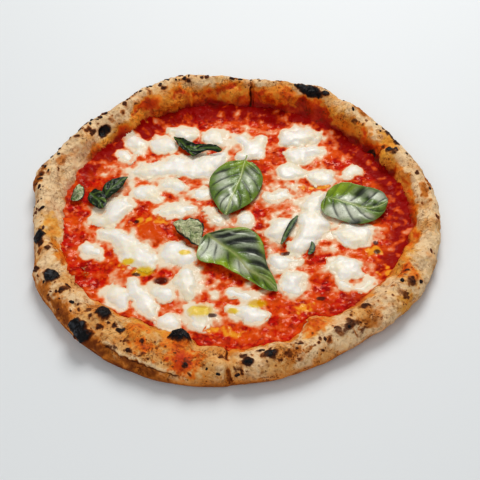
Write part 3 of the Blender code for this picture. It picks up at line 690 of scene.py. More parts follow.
# Where cheese has spread as a thin film between the pads: x, y, half length, half width, turn, strength
CREAM_FILMS = (
    (-47, 57, 46, 13, 2, 1), (-74, 34, 18, 10, -20, 0.85), (-97, 12, 20, 12, 35, 0.9), (-44, 12, 20, 9, 5, 0.9),
    (-49, 36, 16, 9, -15, 0.9), (-27, 26, 12, 9, -20, 0.85), (-85, -22, 30, 12, -32, 1), (-48, -36, 18, 14, -20, 0.95),
    (-38, -62, 12, 18, 0, 0.95), (-74, -72, 16, 16, 0, 0.9), (-92, -72, 12, 12, 0, 0.9), (-54, -76, 14, 9, 0, 0.75),
    (-33, -94, 17, 11, 0, 0.95), (5, -94, 19, 8, -10, 0.9), (0, -77, 22, 8, -10, 0.8), (5, 82, 27, 15, 0, 0.8),
    (-12, 92, 14, 9, 0, 0.7), (60, 87, 18, 12, 0, 0.9), (62, 68, 18, 11, 0, 0.85), (48, 46, 15, 10, -20, 0.85),
    (76, 40, 14, 9, 0, 0.85), (40, 22, 24, 13, 10, 0.72), (60, -6, 24, 28, 10, 1), (92, -24, 20, 10, 0, 0.95),
    (80, -55, 18, 14, -20, 0.9), (92, -73, 16, 8, 0, 0.8), (36, -16, 14, 17, 0, 0.85), (34, -49, 16, 12, 0, 0.85),
    (42, -68, 14, 12, 0, 0.85), (-8, 0, 14, 12, 0, 0.75), (-64, 84, 26, 9, 0, 0.6), (-20, 45, 26, 10, 0, 0.7),
    (-72, 50, 22, 14, 0, 0.8), (14, -60, 18, 8, -30, 0.6), (-38, 96, 16, 9, -20, 0.8),
)

# How much the red beside the rim is deepened, as painted shade and partly the sauce's own deeper red, every 30 degrees
# from +X
RIM_SHADE = (0.8, 0.9, 1.0, 1.0, 1.0, 0.5, 0.0, 0.0, 0.0, 0.0, 0.1, 0.5)

# How many millimetres past the rim's foot it reaches, at the same angles
SAUCE_CREEP = (2.4, 2.4, 2.6, 2.6, 2.6, 3.0, 4.0, 6.0, 6.0, 5.0, 4.6, 3.4)

# Small baked-dark places: x, y, half length, half width
DARK_SPOTS = ((-78, -1, 3, 2.5), (-77, -54, 4.5, 2.5), (61, -84, 5, 3), (-58, -61, 8, 5), (108, -33, 3, 3),
              (108, -41, 3.5, 3), (107, -2, 5, 3), (38, -40, 6, 3), (-20, -95, 5, 2.5))

# Where the sauce has puffed or dried to golden orange: x, y, half length, half width
GOLDEN_PLACES = ((-84, -43, 13, 6), (-72, -48, 10, 5), (105, -40, 8, 7), (50, -92, 11, 7), (113, -62, 7, 8),
                 (64, 28, 20, 3), (-18, -107, 12, 4), (-4, -112, 12, 4), (-68, 0, 16, 8), (86, -60, 8, 4))

# Pools of yellow oil: the same
OIL_POOLS = ((-27.5, -90.5, 11, 6.5), (13.5, -86, 9, 4.5), (-5, -92, 5, 3), (-72, -52, 10, 4.5), (-40, -36, 5, 3),
             (-84, -42, 6, 3))


def height_on(tree, places, start=ABOVE_ALL):
    """Height of a surface straight below each place, or nan beside it."""
    down = Vector((0, 0, -1))
    hits = [tree.ray_cast(Vector((x, y, start)), down)[0] for x, y in places]
    return np.array([hit.z if hit else np.nan for hit in hits])


def footprint(name):
    """The corners round a solid's base, in order."""
    bm = node_shape(name)
    base = min(v.co.z for v in bm.verts) + 0.01 * MM
    links = {}
    for edge in bm.edges:
        low = all(v.co.z < base for v in edge.verts)
        if low and any(abs(face.normal.z) < 0.6 for face in edge.link_faces):
            for here, there in (edge.verts, reversed(edge.verts)):
                links.setdefault(here, []).append(there)
    start = next(iter(links))
    walk = [start, links[start][0]]
    while walk[-1] is not start:
        before, here = walk[-2], walk[-1]
        walk.append(next(v for v in links[here] if v is not before))
    corners = np.array([v.co.xy for v in walk[:-1]])
    bm.free()
    return corners


def between(before, here, after, second, parts):
    """Places on a smooth curve through four points, from here on to after."""
    bend = 2 * before - 5 * here + 4 * after - second
    twist = 3 * (here - after) + second - before
    return [here + 0.5 * t * (after - before + t * (bend + t * twist)) for t in np.arange(parts) / parts]


def rounded(corners, parts=3):
    """A closed smooth curve through the corners, each side cut in parts."""
    before, after, second = (np.roll(corners, k, axis=0) for k in (1, -1, -2))
    return np.stack(between(before, corners, after, second, parts), axis=1).reshape(-1, 2)


def depth_in(outline, places):
    """Distance of each place to a closed outline, positive inside it."""
    a = outline
    b = np.roll(outline, -1, axis=0)
    side = b - a
    rel = places[:, None, :] - a[None]
    t = np.clip((rel * side).sum(-1) / (side * side).sum(-1), 0, 1)
    gap = np.sqrt(((rel - t[..., None] * side) ** 2).sum(-1)).min(axis=1)
    crosses = (a[None, :, 1] > places[:, None, 1]) != (b[None, :, 1] > places[:, None, 1])
    run = np.where(np.abs(side[:, 1]) < 1e-12, 1e-12, side[:, 1])
    at_x = a[:, 0] + (places[:, None, 1] - a[:, 1]) * side[:, 0] / run
    inside = (crosses & (places[:, None, 0] < at_x)).sum(axis=1) % 2 == 1
    return np.where(inside, gap, -gap)


def depth_in_any(outlines, places, margin):
    """Depth inside the nearest of several outlines, down to minus the margin."""
    depth = np.full(len(places), -margin)
    for outline in outlines:
        low = outline.min(axis=0) - margin
        high = outline.max(axis=0) + margin
        near = np.nonzero(((places > low) & (places < high)).all(axis=1))[0]
        depth[near] = np.maximum(depth[near], depth_in(outline, places[near]))
    return depth


def oval_share(places, x, y, half_long, half_wide, turn=0.0):
    """1 in the middle of an oval, falling smoothly to 0 outside it."""
    lean = math.radians(turn)
    dx = places[:, 0] / MM - x
    dy = places[:, 1] / MM - y
    u = (dx * math.cos(lean) + dy * math.sin(lean)) / half_long
    v = (dy * math.cos(lean) - dx * math.sin(lean)) / half_wide
    return np.exp(-(u * u + v * v))


def edge_waver(points):
    """How far the cheese's edge strays at each place; its pads and the film on the sauce both follow this."""
    return 2.6 * MM * lumps(points, 9, 51) + 0.9 * MM * lumps(points, 3.6, 52)


melt_outlines = {name: rounded(footprint(name)) for name in CHEESE_NODES}
sauce_edge = footprint("tomato_sauce") - MIDDLE
edge_angle = np.degrees(np.arctan2(sauce_edge[:, 1], sauce_edge[:, 0])) % 360
order = np.argsort(edge_angle)
edge_angle = edge_angle[order]
edge_radius = np.hypot(*sauce_edge[order].T)


def foot_at(places):
    """How far each place lies inside the rim's foot."""
    rel = places - MIDDLE
    angle = np.degrees(np.arctan2(rel[:, 1], rel[:, 0])) % 360
    return np.interp(angle, edge_angle, edge_radius, period=360) - np.hypot(*rel.T)


half = edge_radius.max() + SAUCE_CLIMB + SAUCE_SPACING
segments = round(2 * half / SAUCE_SPACING)
bm = bmesh.new()
bmesh.ops.create_grid(
    bm, x_segments=segments, y_segments=segments, size=half, matrix=Matrix.Translation((*MIDDLE, 0.0)),
)
grid_xy = np.array([v.co.xy for v in bm.verts])
outside = np.nonzero(foot_at(grid_xy) < -SAUCE_CLIMB)[0]
verts = list(bm.verts)
bmesh.ops.delete(bm, geom=[verts[i] for i in outside], context="VERTS")
border = [e for e in bm.edges if e.is_boundary]
walls = bmesh.ops.extrude_edge_only(bm, edges=border)["geom"]
for vert in (g for g in walls if isinstance(g, bmesh.types.BMVert)):
    vert.co.z = UNDERSIDE_MARK
bmesh.ops.edgeloop_fill(bm, edges=[g for g in walls if isinstance(g, bmesh.types.BMEdge) and g.is_boundary])
bmesh.ops.recalc_face_normals(bm, faces=bm.faces)
sauce = add_piece(bm, "crushed_tomato")

sauce_points = read_points(sauce.data)
under = sauce_points[:, 2] < 0.5 * UNDERSIDE_MARK
places = sauce_points[:, :2]
bm = node_shape("tomato_sauce")
sauce_tree = BVHTree.FromBMesh(bm)
bm.free()
renumber = np.cumsum(~under) - 1
open_faces = [
    tuple(int(renumber[i]) for i in p.vertices) for p in sauce.data.polygons if not any(under[i] for i in p.vertices)
]
wall = height_on(crust_tree, places)
plain = np.zeros(len(places))
for turn in np.arange(6) / 6 * math.tau:
    aside = places + CALM_REACH * np.array((math.cos(turn), math.sin(turn)))
    plain += np.nan_to_num(height_on(sauce_tree, aside), nan=CALM_LEVEL) / 6
flat_places = np.column_stack([places, np.zeros(len(places))])
cheese_depth = depth_in_any(melt_outlines.values(), places, FILM_REACH)
cheese_depth += edge_waver(flat_places)
under_cheese = step(cheese_depth, 1.5 * MM, 5 * MM)
film_ground = np.max([strength * oval_share(places, *oval) ** 0.6 for *oval, strength in CREAM_FILMS], axis=0)
film_ground = np.maximum(film_ground, 1.1 * step(cheese_depth, -5.0 * MM, 0.0 * MM))
mottle = 0.30 * lumps(flat_places, 9, 71) + 0.26 * lumps(flat_places, 4.6, 72) + 0.10 * lumps(flat_places, 2.2, 73)
cream = film_ground + mottle * (1 - under_cheese)
filmed = step(cream, 0.45, 0.8)
bend = np.column_stack([lumps(flat_places, 6, 1), lumps(flat_places, 6, 2), np.zeros(len(places))])
bent = flat_places + 1.4 * MM * bend
cells = np.array([noise.voronoi(Vector(p) / (PULP_SIZE * MM))[0][0] for p in bent])
small_cells = np.array([noise.voronoi(Vector(p) / (0.5 * PULP_SIZE * MM))[0][0] for p in bent])
pulp = 1.1 * (0.45 - cells) + 0.3 * (0.45 - small_cells) + 0.6 * lumps(flat_places, 11, 5)
pulp += 0.12 * lumps(flat_places, 2.2, 6)
shoulder = step(cheese_depth, -3.5 * MM, 1.5 * MM)
soothed = np.maximum(0.95 * shoulder, 0.6 * filmed)
sauce_height = plain + (pulp * (1 - soothed) - 0.15 + 0.35 * filmed + 0.5 * shoulder - 1.6 * under_cheese) * MM
inside_foot = foot_at(places)
rel = places - MIDDLE
place_angle = np.degrees(np.arctan2(rel[:, 1], rel[:, 0]))
climb = (around(SAUCE_CREEP, place_angle) + 2.0 * lumps(flat_places, 12, 8) + 1.0 * lumps(flat_places, 4, 9)) * MM
film = (0.55 + 0.15 * lumps(flat_places, 3, 7)) * MM
low_bump = (inside_foot > -climb - BUMP_BEYOND) & (wall < plain + BUMP_HEIGHT)
wet_wall = ((inside_foot > -climb) & (wall < FILM_TOP)) | low_bump
sauce_height = np.where(wet_wall, np.maximum(sauce_height, wall + film), sauce_height)
sauce_height = np.where(wet_wall, sauce_height, np.minimum(sauce_height, wall - SUNK_UNDER_WALL))
sauce_points[:, 2] = np.where(under, SAUCE_BOTTOM, np.maximum(sauce_height, SAUCE_BOTTOM + 0.2 * MM))
write_points(sauce.data, sauce_points)

puffed = step(plain, 6.4 * MM, 7.4 * MM)
dark, oil, gilt = (
    np.max([oval_share(places, *oval) for oval in ovals], axis=0) for ovals in (DARK_SPOTS, OIL_POOLS, GOLDEN_PLACES)
)
gilt += 0.45 * (lumps(flat_places, 3.4, 76) - 0.3)
# Painted shade, with a deeper red of the sauce, in a band inside the rim's foot
near_rim = (1 - step(inside_foot, 2 * MM, 20 * MM)) * around(RIM_SHADE, place_angle)
for name, values in (("cream", cream), ("puffed", np.maximum(puffed, 0.9 * step(gilt, 0.25, 0.7))), ("gilt", gilt),
                     ("dark", dark), ("oil", oil), ("near_rim", near_rim), ("hump", step(pulp, -0.2, 0.5))):
    write_share(sauce.data, name, values)

TOMATO = tint(208, 34, 8)
DEEP_TOMATO = tint(150, 12, 2)
ORANGE_SAUCE = tint(232, 92, 14)
WHEY_PINK = tint(240, 168, 126)
FILM_CREAM = tint(242, 224, 196)
FILM_WHITE = tint(242, 234, 222)
PUFF_ORANGE = tint(222, 84, 8)
PUFF_GOLD = tint(246, 168, 50)
YELLOW_OIL = tint(222, 172, 14)
BAKED_DARK = tint(70, 26, 20)

sauce_finish, tree, shader = new_finish("sauce_finish", Roughness=0.5, Specular_IOR_Level=0.06, Coat_Roughness=0.18)
wide = grain(tree, 15.0, detail=2.0, shift=0.7)
blots = grain(tree, 8.0, distortion=1.4, shift=0.2)
small = grain(tree, 3.6, distortion=0.4, shift=0.45)
fine = grain(tree, 1.5, detail=2.0, shift=0.9)
creamy = broken(tree, "cream", small, 0.3)
colour = coats(tree, layer(tree, level(tree, blots, 0.36, 0.62), DEEP_TOMATO, TOMATO), (
    (wide, 0.45, 0.68, 0.85, ORANGE_SAUCE), (share_of(tree, "hump"), 0.2, 1.0, 0.5, ORANGE_SAUCE),
    (small, 0.5, 0.72, 0.7, ORANGE_SAUCE), (small, 0.42, 0.28, 0.5, DEEP_TOMATO),
    # Painted shade beside the rim: deep tomato red
    (broken(tree, "near_rim", small, 0.3), 0.25, 0.8, 0.95, DEEP_TOMATO), (creamy, 0.26, 0.56, 0.8, ORANGE_SAUCE),
    (creamy, 0.46, 0.82, 0.92, WHEY_PINK), (creamy, 0.7, 1.08, 0.97, FILM_CREAM),
    (creamy, 1.06, 1.36, 1.0, FILM_WHITE), (share_of(tree, "puffed"), 0.1, 0.9, 0.9, PUFF_ORANGE),
    (broken(tree, "gilt", small, 0.9), 0.9, 1.4, 0.9, PUFF_GOLD), (share_of(tree, "oil"), 0.3, 0.8, 0.85, YELLOW_OIL),
    (broken(tree, "dark", small, 0.4), 0.6, 1.0, 0.9, BAKED_DARK),
))
tree.links.new(colour, shader.inputs["Base Color"])
wetness = level(tree, small, 0.5, 0.66, 0.0, 0.5)
dulled = level(tree, share_of(tree, "near_rim"), 0.0, 0.6, 1.0, 0.15)
tree.links.new(times(tree, wetness, dulled), shader.inputs["Coat Weight"])
roughen(tree, shader, plus(tree, times(tree, fine, 0.4), small), 1.0, 0.6)
sauce.data.materials.append(sauce_finish)
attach(sauce, "root")
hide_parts("tomato_sauce")

# Mozzarella
# Torn pieces of fresh, wet cheese. They slump in the heat into soft white pads whose edges sink
# into the sauce and take up its colour.
MELT_SPACING = 0.8 * MM
MELT_BOTTOM = 4.6 * MM
MELT_REACH = 9.0 * MM
MELT_EDGE_OUT = 2.4 * MM
MELT_EDGE_UNDER = 0.3 * MM
MELT_SLUMP = 0.8 * MM
MELT_MARGIN = 5 * MM
MELT_LEAST_RISE = 1.2 * MM
THIN_OUT = 1.6 * MM
THIN_ACROSS = 5.5 * MM

MILK_WHITE = tint(240, 236, 228)
CREAM = tint(240, 230, 206)
EDGE_CREAM = tint(242, 222, 192)
OLIVE_OIL = tint(232, 196, 24)
EDGE_PINK = tint(240, 186, 152)
OILY_YELLOW = tint(234, 208, 158)

cheese_finish, tree, shader = new_finish(
    "cheese_finish", Roughness=0.42, Specular_IOR_Level=0.45, Subsurface_Weight=0.25,
    Subsurface_Radius=(0.006, 0.004, 0.0025), Subsurface_Scale=0.4,
)
wide = grain(tree, 14.0, detail=2.0, shift=0.3)
middling = grain(tree, 4.5, shift=0.6)
fine = grain(tree, 1.6, detail=2.0)
thin = broken(tree, "thin", middling, 0.5)
colour = coats(tree, MILK_WHITE, (
    (wide, 0.4, 0.7, 1.0, CREAM), (thin, 0.5, 1.0, 0.3, OILY_YELLOW), (thin, 0.7, 1.25, 0.9, EDGE_CREAM),
    (thin, 1.15, 1.5, 0.6, EDGE_PINK), (broken(tree, "oil", middling, 0.6), 0.45, 1.0, 0.95, OLIVE_OIL),
))
tree.links.new(colour, shader.inputs["Base Color"])
tree.links.new(level(tree, middling, 0.3, 0.7, 0.3, 0.5), shader.inputs["Roughness"])
roughen(tree, shader, plus(tree, middling, times(tree, fine, 0.3)), 0.3, 0.5)

level_tree = BVHTree.FromPolygons(
    np.column_stack([places, plain + 0.3 * MM])[~under].tolist(), open_faces,
)


def sauce_level(spots):
    """Height of the sauce's calm surface at places."""
    return np.nan_to_num(height_on(level_tree, spots), nan=CALM_LEVEL)


melts = []
for name, outline in melt_outlines.items():
    low = outline.min(axis=0) - MELT_MARGIN
    high = outline.max(axis=0) + MELT_MARGIN
    mid = (low + high) / 2
    half = (high - low) / 2
    counts = [round(2 * size / MELT_SPACING) for size in half]
    bm = bmesh.new()
    stretch = Matrix.Translation((*mid, 0.0)) @ Matrix.Diagonal((*half, 1.0, 1.0))
    bmesh.ops.create_grid(bm, x_segments=counts[0], y_segments=counts[1], size=1.0, matrix=stretch)
    flat = np.array([v.co for v in bm.verts])
    depth = depth_in(outline, flat[:, :2]) + edge_waver(flat)
    level_here = sauce_level(flat[:, :2])
    share = np.clip((depth + MELT_EDGE_OUT) / MELT_REACH, 0, 1)
    dome = 0.75 * share * share * (3 - 2 * share) + 0.25 * (1 - (1 - share) ** 2)
    bumps = (0.45 * lumps(flat, 9, 61) + 0.1 * lumps(flat, 3.0, 62)) * MM
    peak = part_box(name)[1].z - MELT_SLUMP
    foot = level_here - MELT_EDGE_UNDER
    top = foot + (np.maximum(peak - foot, MELT_LEAST_RISE) + bumps) * dome
    thin_layer = bm.verts.layers.float.new("thin")
    oil_layer = bm.verts.layers.float.new("oil")
    oil_here = np.max([oval_share(flat[:, :2], *pool) for pool in OIL_POOLS], axis=0)
    for vert, z, inside, oil_share in zip(bm.verts, top, depth, oil_here):
        vert.co.z = z
        vert[oil_layer] = oil_share
        vert[thin_layer] = 1 - min(1.0, max(0.0, (inside + THIN_OUT) / THIN_ACROSS))
    bm.verts.ensure_lookup_table()
    outside = [bm.verts[i] for i in np.nonzero(depth < -MELT_EDGE_OUT)[0]]
    bmesh.ops.delete(bm, geom=outside, context="VERTS")
    bmesh.ops.delete(bm, geom=[v for v in bm.verts if not v.link_faces], context="VERTS")
    made = bmesh.ops.extrude_face_region(bm, geom=bm.faces[:])["geom"]
    for vert in (g for g in made if isinstance(g, bmesh.types.BMVert)):
        vert.co.z = MELT_BOTTOM
    bmesh.ops.recalc_face_normals(bm, faces=bm.faces)
    melt = add_piece(bm, name.replace("mozzarella", "melt"))
    melt.data.materials.append(cheese_finish)
    melts.append(melt)
    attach(melt, "root")
    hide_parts(name)

# Basil
# Sweet basil leaves. Three were laid on at the end and are still green, with sunken veins and the blade
# puffed up between them. The others went through the oven, and are shrivelled, dark or burnt.
LEAF_ROWS = 80
LEAF_COLUMNS = 56
LEAF_THICKNESS = 0.4 * MM
LEAF_CLEARANCE = 0.4 * MM
LINE_PARTS = 8

# Lines from base to tip (x, y, height): midrib, far edge, near edge
LEAF_LINES = {
    "basil_top": (
        ((12.3, 61.8, 12), (10.4, 55.5, 12), (8.4, 47.7, 12.5), (6, 36.1, 13), (1.9, 25.3, 13), (-1.6, 16.2, 12.5),
         (-4.3, 8.6, 11.5), (-7.4, -0.5, 9.5)),
        ((11.7, 61.9, 11.8), (9.6, 55.8, 11.9), (3, 56.5, 11.5), (-4.5, 55.1, 11), (-12.1, 49.7, 10.5),
         (-18.1, 41.9, 9.5), (-19.7, 31.3, 9), (-18.1, 20.5, 8.8), (-14.7, 10.6, 8.8), (-10.9, 3.3, 9),
         (-7.8, -0.6, 9.3)),
        ((12.9, 61.6, 11.8), (11.2, 55.2, 11.9), (16.1, 53.4, 11.5), (20.8, 48.7, 10.8), (23.7, 41.3, 10),
         (24, 33.9, 9.5), (21.7, 25.7, 9), (17.6, 17.4, 8.8), (11.7, 10.2, 8.8), (4.3, 5.1, 9), (-2.2, 1.7, 9),
         (-7, -0.9, 9.3)),
    ),
    "basil_right": (
        ((73, 12.2, 11), (79.5, 9.9, 12), (86.2, 5.9, 13), (93.7, 2.3, 13), (102.1, -1.4, 12.5),
         (110, -1.4, 12), (115.8, 0.9, 12), (121.9, 4.7, 11.5)),
        ((73.1, 12.6, 11.3), (75.3, 16.8, 13), (79.5, 20.1, 15), (85.3, 22.2, 16.5), (91.6, 22, 17),
         (98.5, 18.8, 17), (105.6, 17.2, 16), (112.6, 15.5, 15), (118.7, 11.7, 13.5), (121.9, 5.9, 12)),
        ((72.5, 11.8, 10.8), (69.5, 8.4, 9.5), (68.6, 3.1, 9), (70.5, -3, 8.6), (75.7, -6.7, 8.2),
         (81.7, -9.4, 8), (87.7, -12.9, 8), (94.5, -14.8, 8), (102.4, -14.7, 8), (110.6, -11.5, 8.5),
         (117.1, -6.4, 9.5), (121.8, 3.6, 11)),
    ),
    "basil_folded": (
        ((-22.2, -23.2, 14), (-18.4, -27.7, 15), (-14.6, -31.9, 15.5), (-6.7, -39.7, 15.5), (-0.8, -45, 15),
         (3.8, -51.7, 14), (8.1, -57.9, 13), (15.9, -63.3, 11.5), (22.6, -68.2, 10), (29, -77, 8.6)),
        ((-23, -23.3, 13.6), (-26.6, -28.1, 13), (-29.4, -35.6, 12), (-30.3, -43.8, 11.5), (-24.4, -48.8, 11),
         (-15.5, -50.1, 11), (-7.3, -55.4, 10.5), (1.9, -61.7, 10), (11, -68.2, 9.2), (20, -75.1, 8.8),
         (28.8, -77.1, 8.4)),
        ((-21.4, -22.7, 14), (-17.9, -22.7, 15), (-12.2, -21.4, 16), (-2.5, -20.4, 16), (7.2, -20.2, 15.8),
         (14.2, -24, 15), (18.8, -29.7, 14), (20.9, -36.8, 13), (21.8, -45.3, 12), (23, -55.1, 11),
         (26.4, -63.5, 10), (28.8, -71, 9), (29.2, -76.6, 8.6)),
    ),
    "basil_curled": (
        ((-48.5, -7.6, 10), (-43.2, -11.6, 12), (-37.7, -15.9, 13), (-33.1, -19.7, 13), (-29.3, -24.6, 12),
         (-27.9, -30.5, 10.5)),
        ((-48.4, -6.9, 10.4), (-44, -6.2, 12), (-38.5, -6.1, 13), (-32.5, -6.6, 13.5), (-27.5, -8.7, 13),
         (-24.5, -14.2, 12), (-25.4, -21, 11), (-26.7, -30, 10.4)),
        ((-48.8, -8.3, 9.6), (-46.2, -14.6, 9), (-42.6, -19.9, 9), (-38.8, -24.2, 9), (-34.5, -27.9, 9),
         (-30.6, -30.6, 9), (-28.3, -30.7, 9.8)),
    ),
    "basil_burnt_strip": (
        ((-48.7, 89.8, 9.5), (-41, 80.5, 10.5), (-32.6, 72.3, 10), (-24.2, 73.7, 11), (-15.8, 72.1, 11.5),
         (-8.3, 70.9, 10.5)),
        ((-48.7, 90.4, 9.8), (-42.6, 85.6, 11.5), (-35.8, 81.1, 12), (-28.3, 78.2, 11.5), (-20.7, 76.4, 12.5),
         (-14.8, 74.8, 12.5), (-8.3, 71.7, 10.8)),
        ((-49, 89.3, 9.2), (-44.8, 78.8, 9.5), (-38.5, 72.4, 9), (-32.7, 66.1, 8.5), (-27.7, 68.5, 9),
         (-20.1, 71.4, 9.5), (-13.4, 69, 10), (-8.6, 70.2, 10.2)),
    ),
    "basil_burnt_blade": (
        ((-105.2, 21.5, 9.5), (-102.4, 26.5, 11), (-98.5, 31.4, 12), (-93.2, 37.6, 11), (-86.2, 44.7, 9.5)),
        ((-105.7, 21.9, 9.7), (-106.7, 28.9, 11), (-104.2, 34.6, 12.5), (-99.2, 39.9, 12.5), (-93.3, 42.6, 11.5),
         (-86.4, 45, 9.7)),
        ((-104.6, 21.1, 9.3), (-100.4, 23.4, 9.5), (-96.5, 27.3, 9.8), (-92.6, 30.7, 10), (-89.2, 37.3, 9.8),
         (-86.1, 44.4, 9.3)),
    ),
    "basil_burnt_lobe": (
        ((-116.8, 28.8, 10), (-112.8, 23.8, 11), (-108.8, 19, 11.3), (-105.1, 12.3, 9.5)),
        ((-116.4, 29.3, 10.3), (-112.2, 30.8, 12), (-107.2, 27.8, 12.3), (-103, 22.8, 11.5), (-102.4, 16.1, 10.5),
         (-104.1, 11.7, 9.6)),
        ((-117.2, 28.2, 9.8), (-118.1, 22.7, 9), (-115.1, 17.3, 8.8), (-110, 12.9, 8.8), (-105.9, 11.5, 9.2)),
    ),
    "basil_bit_by_rim": (
        ((-125.8, 37.8, 11), (-125.8, 32.2, 11), (-126.8, 26.4, 10.2), (-129.1, 21.7, 9)),
        ((-125.2, 37.7, 11), (-121.1, 32.3, 11.2), (-121.1, 26.1, 10.2), (-123.8, 21.9, 9), (-128, 20.8, 8.9)),
        ((-126.5, 37.8, 10.8), (-129.7, 32.4, 10.5), (-131.6, 27.3, 9.6), (-131.7, 22.5, 8.8), (-129.5, 20.8, 8.8)),
    ),
    "basil_thin_strip": (
        ((49.4, -4.3, 9), (45.4, -10.5, 9.2), (41.3, -18.5, 9.2), (37.7, -25.8, 9), (34.6, -32.3, 8.6)),
        ((50.2, -4.7, 8.8), (47.7, -11.3, 8.8), (43.2, -19.3, 8.8), (39.2, -27.1, 8.6), (35, -32.8, 8.6)),
        ((48.9, -3.9, 8.9), (43.5, -9.3, 8.8), (39.5, -17.1, 8.8), (36.3, -24.4, 8.6), (34.2, -31.9, 8.6)),
    ),
    "basil_small_edge": (
        ((58.6, -31.3, 8.8), (58.9, -36.6, 9.2), (57.4, -40.9, 9), (54.9, -43.4, 8.6)),
        ((59.4, -31.6, 8.7), (60.9, -36.4, 8.8), (59.3, -41.6, 8.8), (55.4, -43.9, 8.6)),
        ((58, -31.1, 8.7), (57, -35.4, 8.9), (55.5, -39.1, 8.8), (54.5, -42.7, 8.6)),
    ),
}

# Veins on each half, depth between them, belly of the far and the near half, wave of the edge, crumple
LEAF_HABITS = {
    "basil_top": (6.0, 1.3, 0.8, 1.0, 0.5, 0.25),
    "basil_right": (5.5, 1.6, -2.2, 1.4, 0.5, 0.3),
    "basil_folded": (6.5, 1.9, -4.2, 0.8, 0.5, 0.3),
    "basil_curled": (5.0, 0.8, 0.6, 0.8, 1.0, 1.8),
    "basil_burnt_strip": (4.0, 0.9, 0.3, 0.5, 1.0, 1.0),
    "basil_burnt_blade": (4.0, 0.8, 0.3, 0.5, 0.6, 0.6),
    "basil_burnt_lobe": (3.0, 0.8, 0.5, 0.5, 0.8, 0.8),
    "basil_bit_by_rim": (3.0, 0.8, 0.5, 0.5, 0.8, 1.2),
    "basil_thin_strip": (2.0, 0.2, 0.0, 0.0, 0.2, 0.3),
    "basil_small_edge": (2.0, 0.2, 0.0, 0.0, 0.2, 0.3),
}

# Painted light where light shines through a thin blade from behind, and a younger green in places: x, y, half length,
# half width, turn, strength
BRIGHT_GREEN = (
    (9, 52, 9, 6, 20, 0.9), (-8, 54, 12, 4, 10, 0.7), (84, 18, 14, 6, 5, 1), (-8, -52, 27, 6.5, -32, 1),
    (-29, -38, 3.5, 9, 0, 0.8), (3, -20, 18, 3, 0, 1), (19, -33, 3, 14, 10, 0.8), (24, -66, 8, 5, -45, 0.5),
    (-125, 34, 5, 4, 0, 0.5), (70, 2, 3, 8, 0, 0.6), (15, 14, 7, 7, 0, 0.35),
)

# Hollows that lie in their own shade: the same
SHADED_GREEN = (
    (2, -31, 24, 10, -28, 1), (16, -46, 9, 17, 20, 1), (103, 12, 15, 4.5, -14, 0.7), (110, 2, 9, 3, -10, 0.5),
    (94, -13, 6, 2.5, 0, 0.8), (-9, 44, 9, 3, 15, 0.6), (14, 44, 7, 4, -40, 0.6), (-129.5, 27, 5, 5, 0, 0.9),
)

# Painted sheen where a fresh blade reflects the sky, and the pale middle of the curled leaf: the same
PALE_GREEN = (
    (-8, 32, 10, 16, 20, 0.6), (13, 32, 9, 13, 0, 0.6), (-6, 12, 9, 10, 0, 0.7), (87, -5, 19, 7.5, -12, 1),
    (92, 7, 13, 5, -14, 0.85),
    (102, -9, 10, 3.5, -10, 0.8), (114, 9, 9, 4.5, -25, 0.9), (-19, -36, 14, 8, -40, 0.95), (-25, -40, 6, 7, 0, 0.8),
    (4, -55, 11, 5, -35, 0.8), (3, -27, 13, 1.3, -10, 0.7), (6, -36, 12, 1.2, -14, 0.6), (12, -46, 9, 1.2, -22, 0.7),
    (-1, 17, 2.2, 12, 20, 1), (-37, -13, 7, 6, 0, 0.9),
)


def smooth_line(points, count):
    """A smooth open curve through the points, sampled evenly along its length."""
    corners = np.array(points) * MM
    ends = np.vstack([2 * corners[0] - corners[1], corners, 2 * corners[-1] - corners[-2]])
    curve = [place for four in zip(ends, ends[1:], ends[2:], ends[3:]) for place in between(*four, LINE_PARTS)]
    curve = np.array(curve + [corners[-1]])
    run = np.concatenate([[0], np.cumsum(np.linalg.norm(np.diff(curve, axis=0), axis=1))])
    places = np.linspace(0, run[-1], count)
    return np.column_stack([np.interp(places, run, curve[:, k]) for k in range(3)])


def softened(grid, times):
    """Each value of a grid mixed with its neighbours."""
    for _ in range(times):
        wide = np.pad(grid, 1, mode="edge")
        grid = (wide[1:-1, :-2] + wide[1:-1, 2:] + wide[:-2, 1:-1] + wide[2:, 1:-1] + 2 * grid) / 6
    return grid


melt_points = []
melt_faces = []
for melt in melts:
    shift = len(melt_points)
    melt_points += read_points(melt.data).tolist()
    melt_faces += [tuple(shift + i for i in p.vertices) for p in melt.data.polygons]
melt_tree = BVHTree.FromPolygons(melt_points, melt_faces)
pulp_tree = BVHTree.FromPolygons(sauce_points.tolist(), [tuple(p.vertices) for p in sauce.data.polygons])


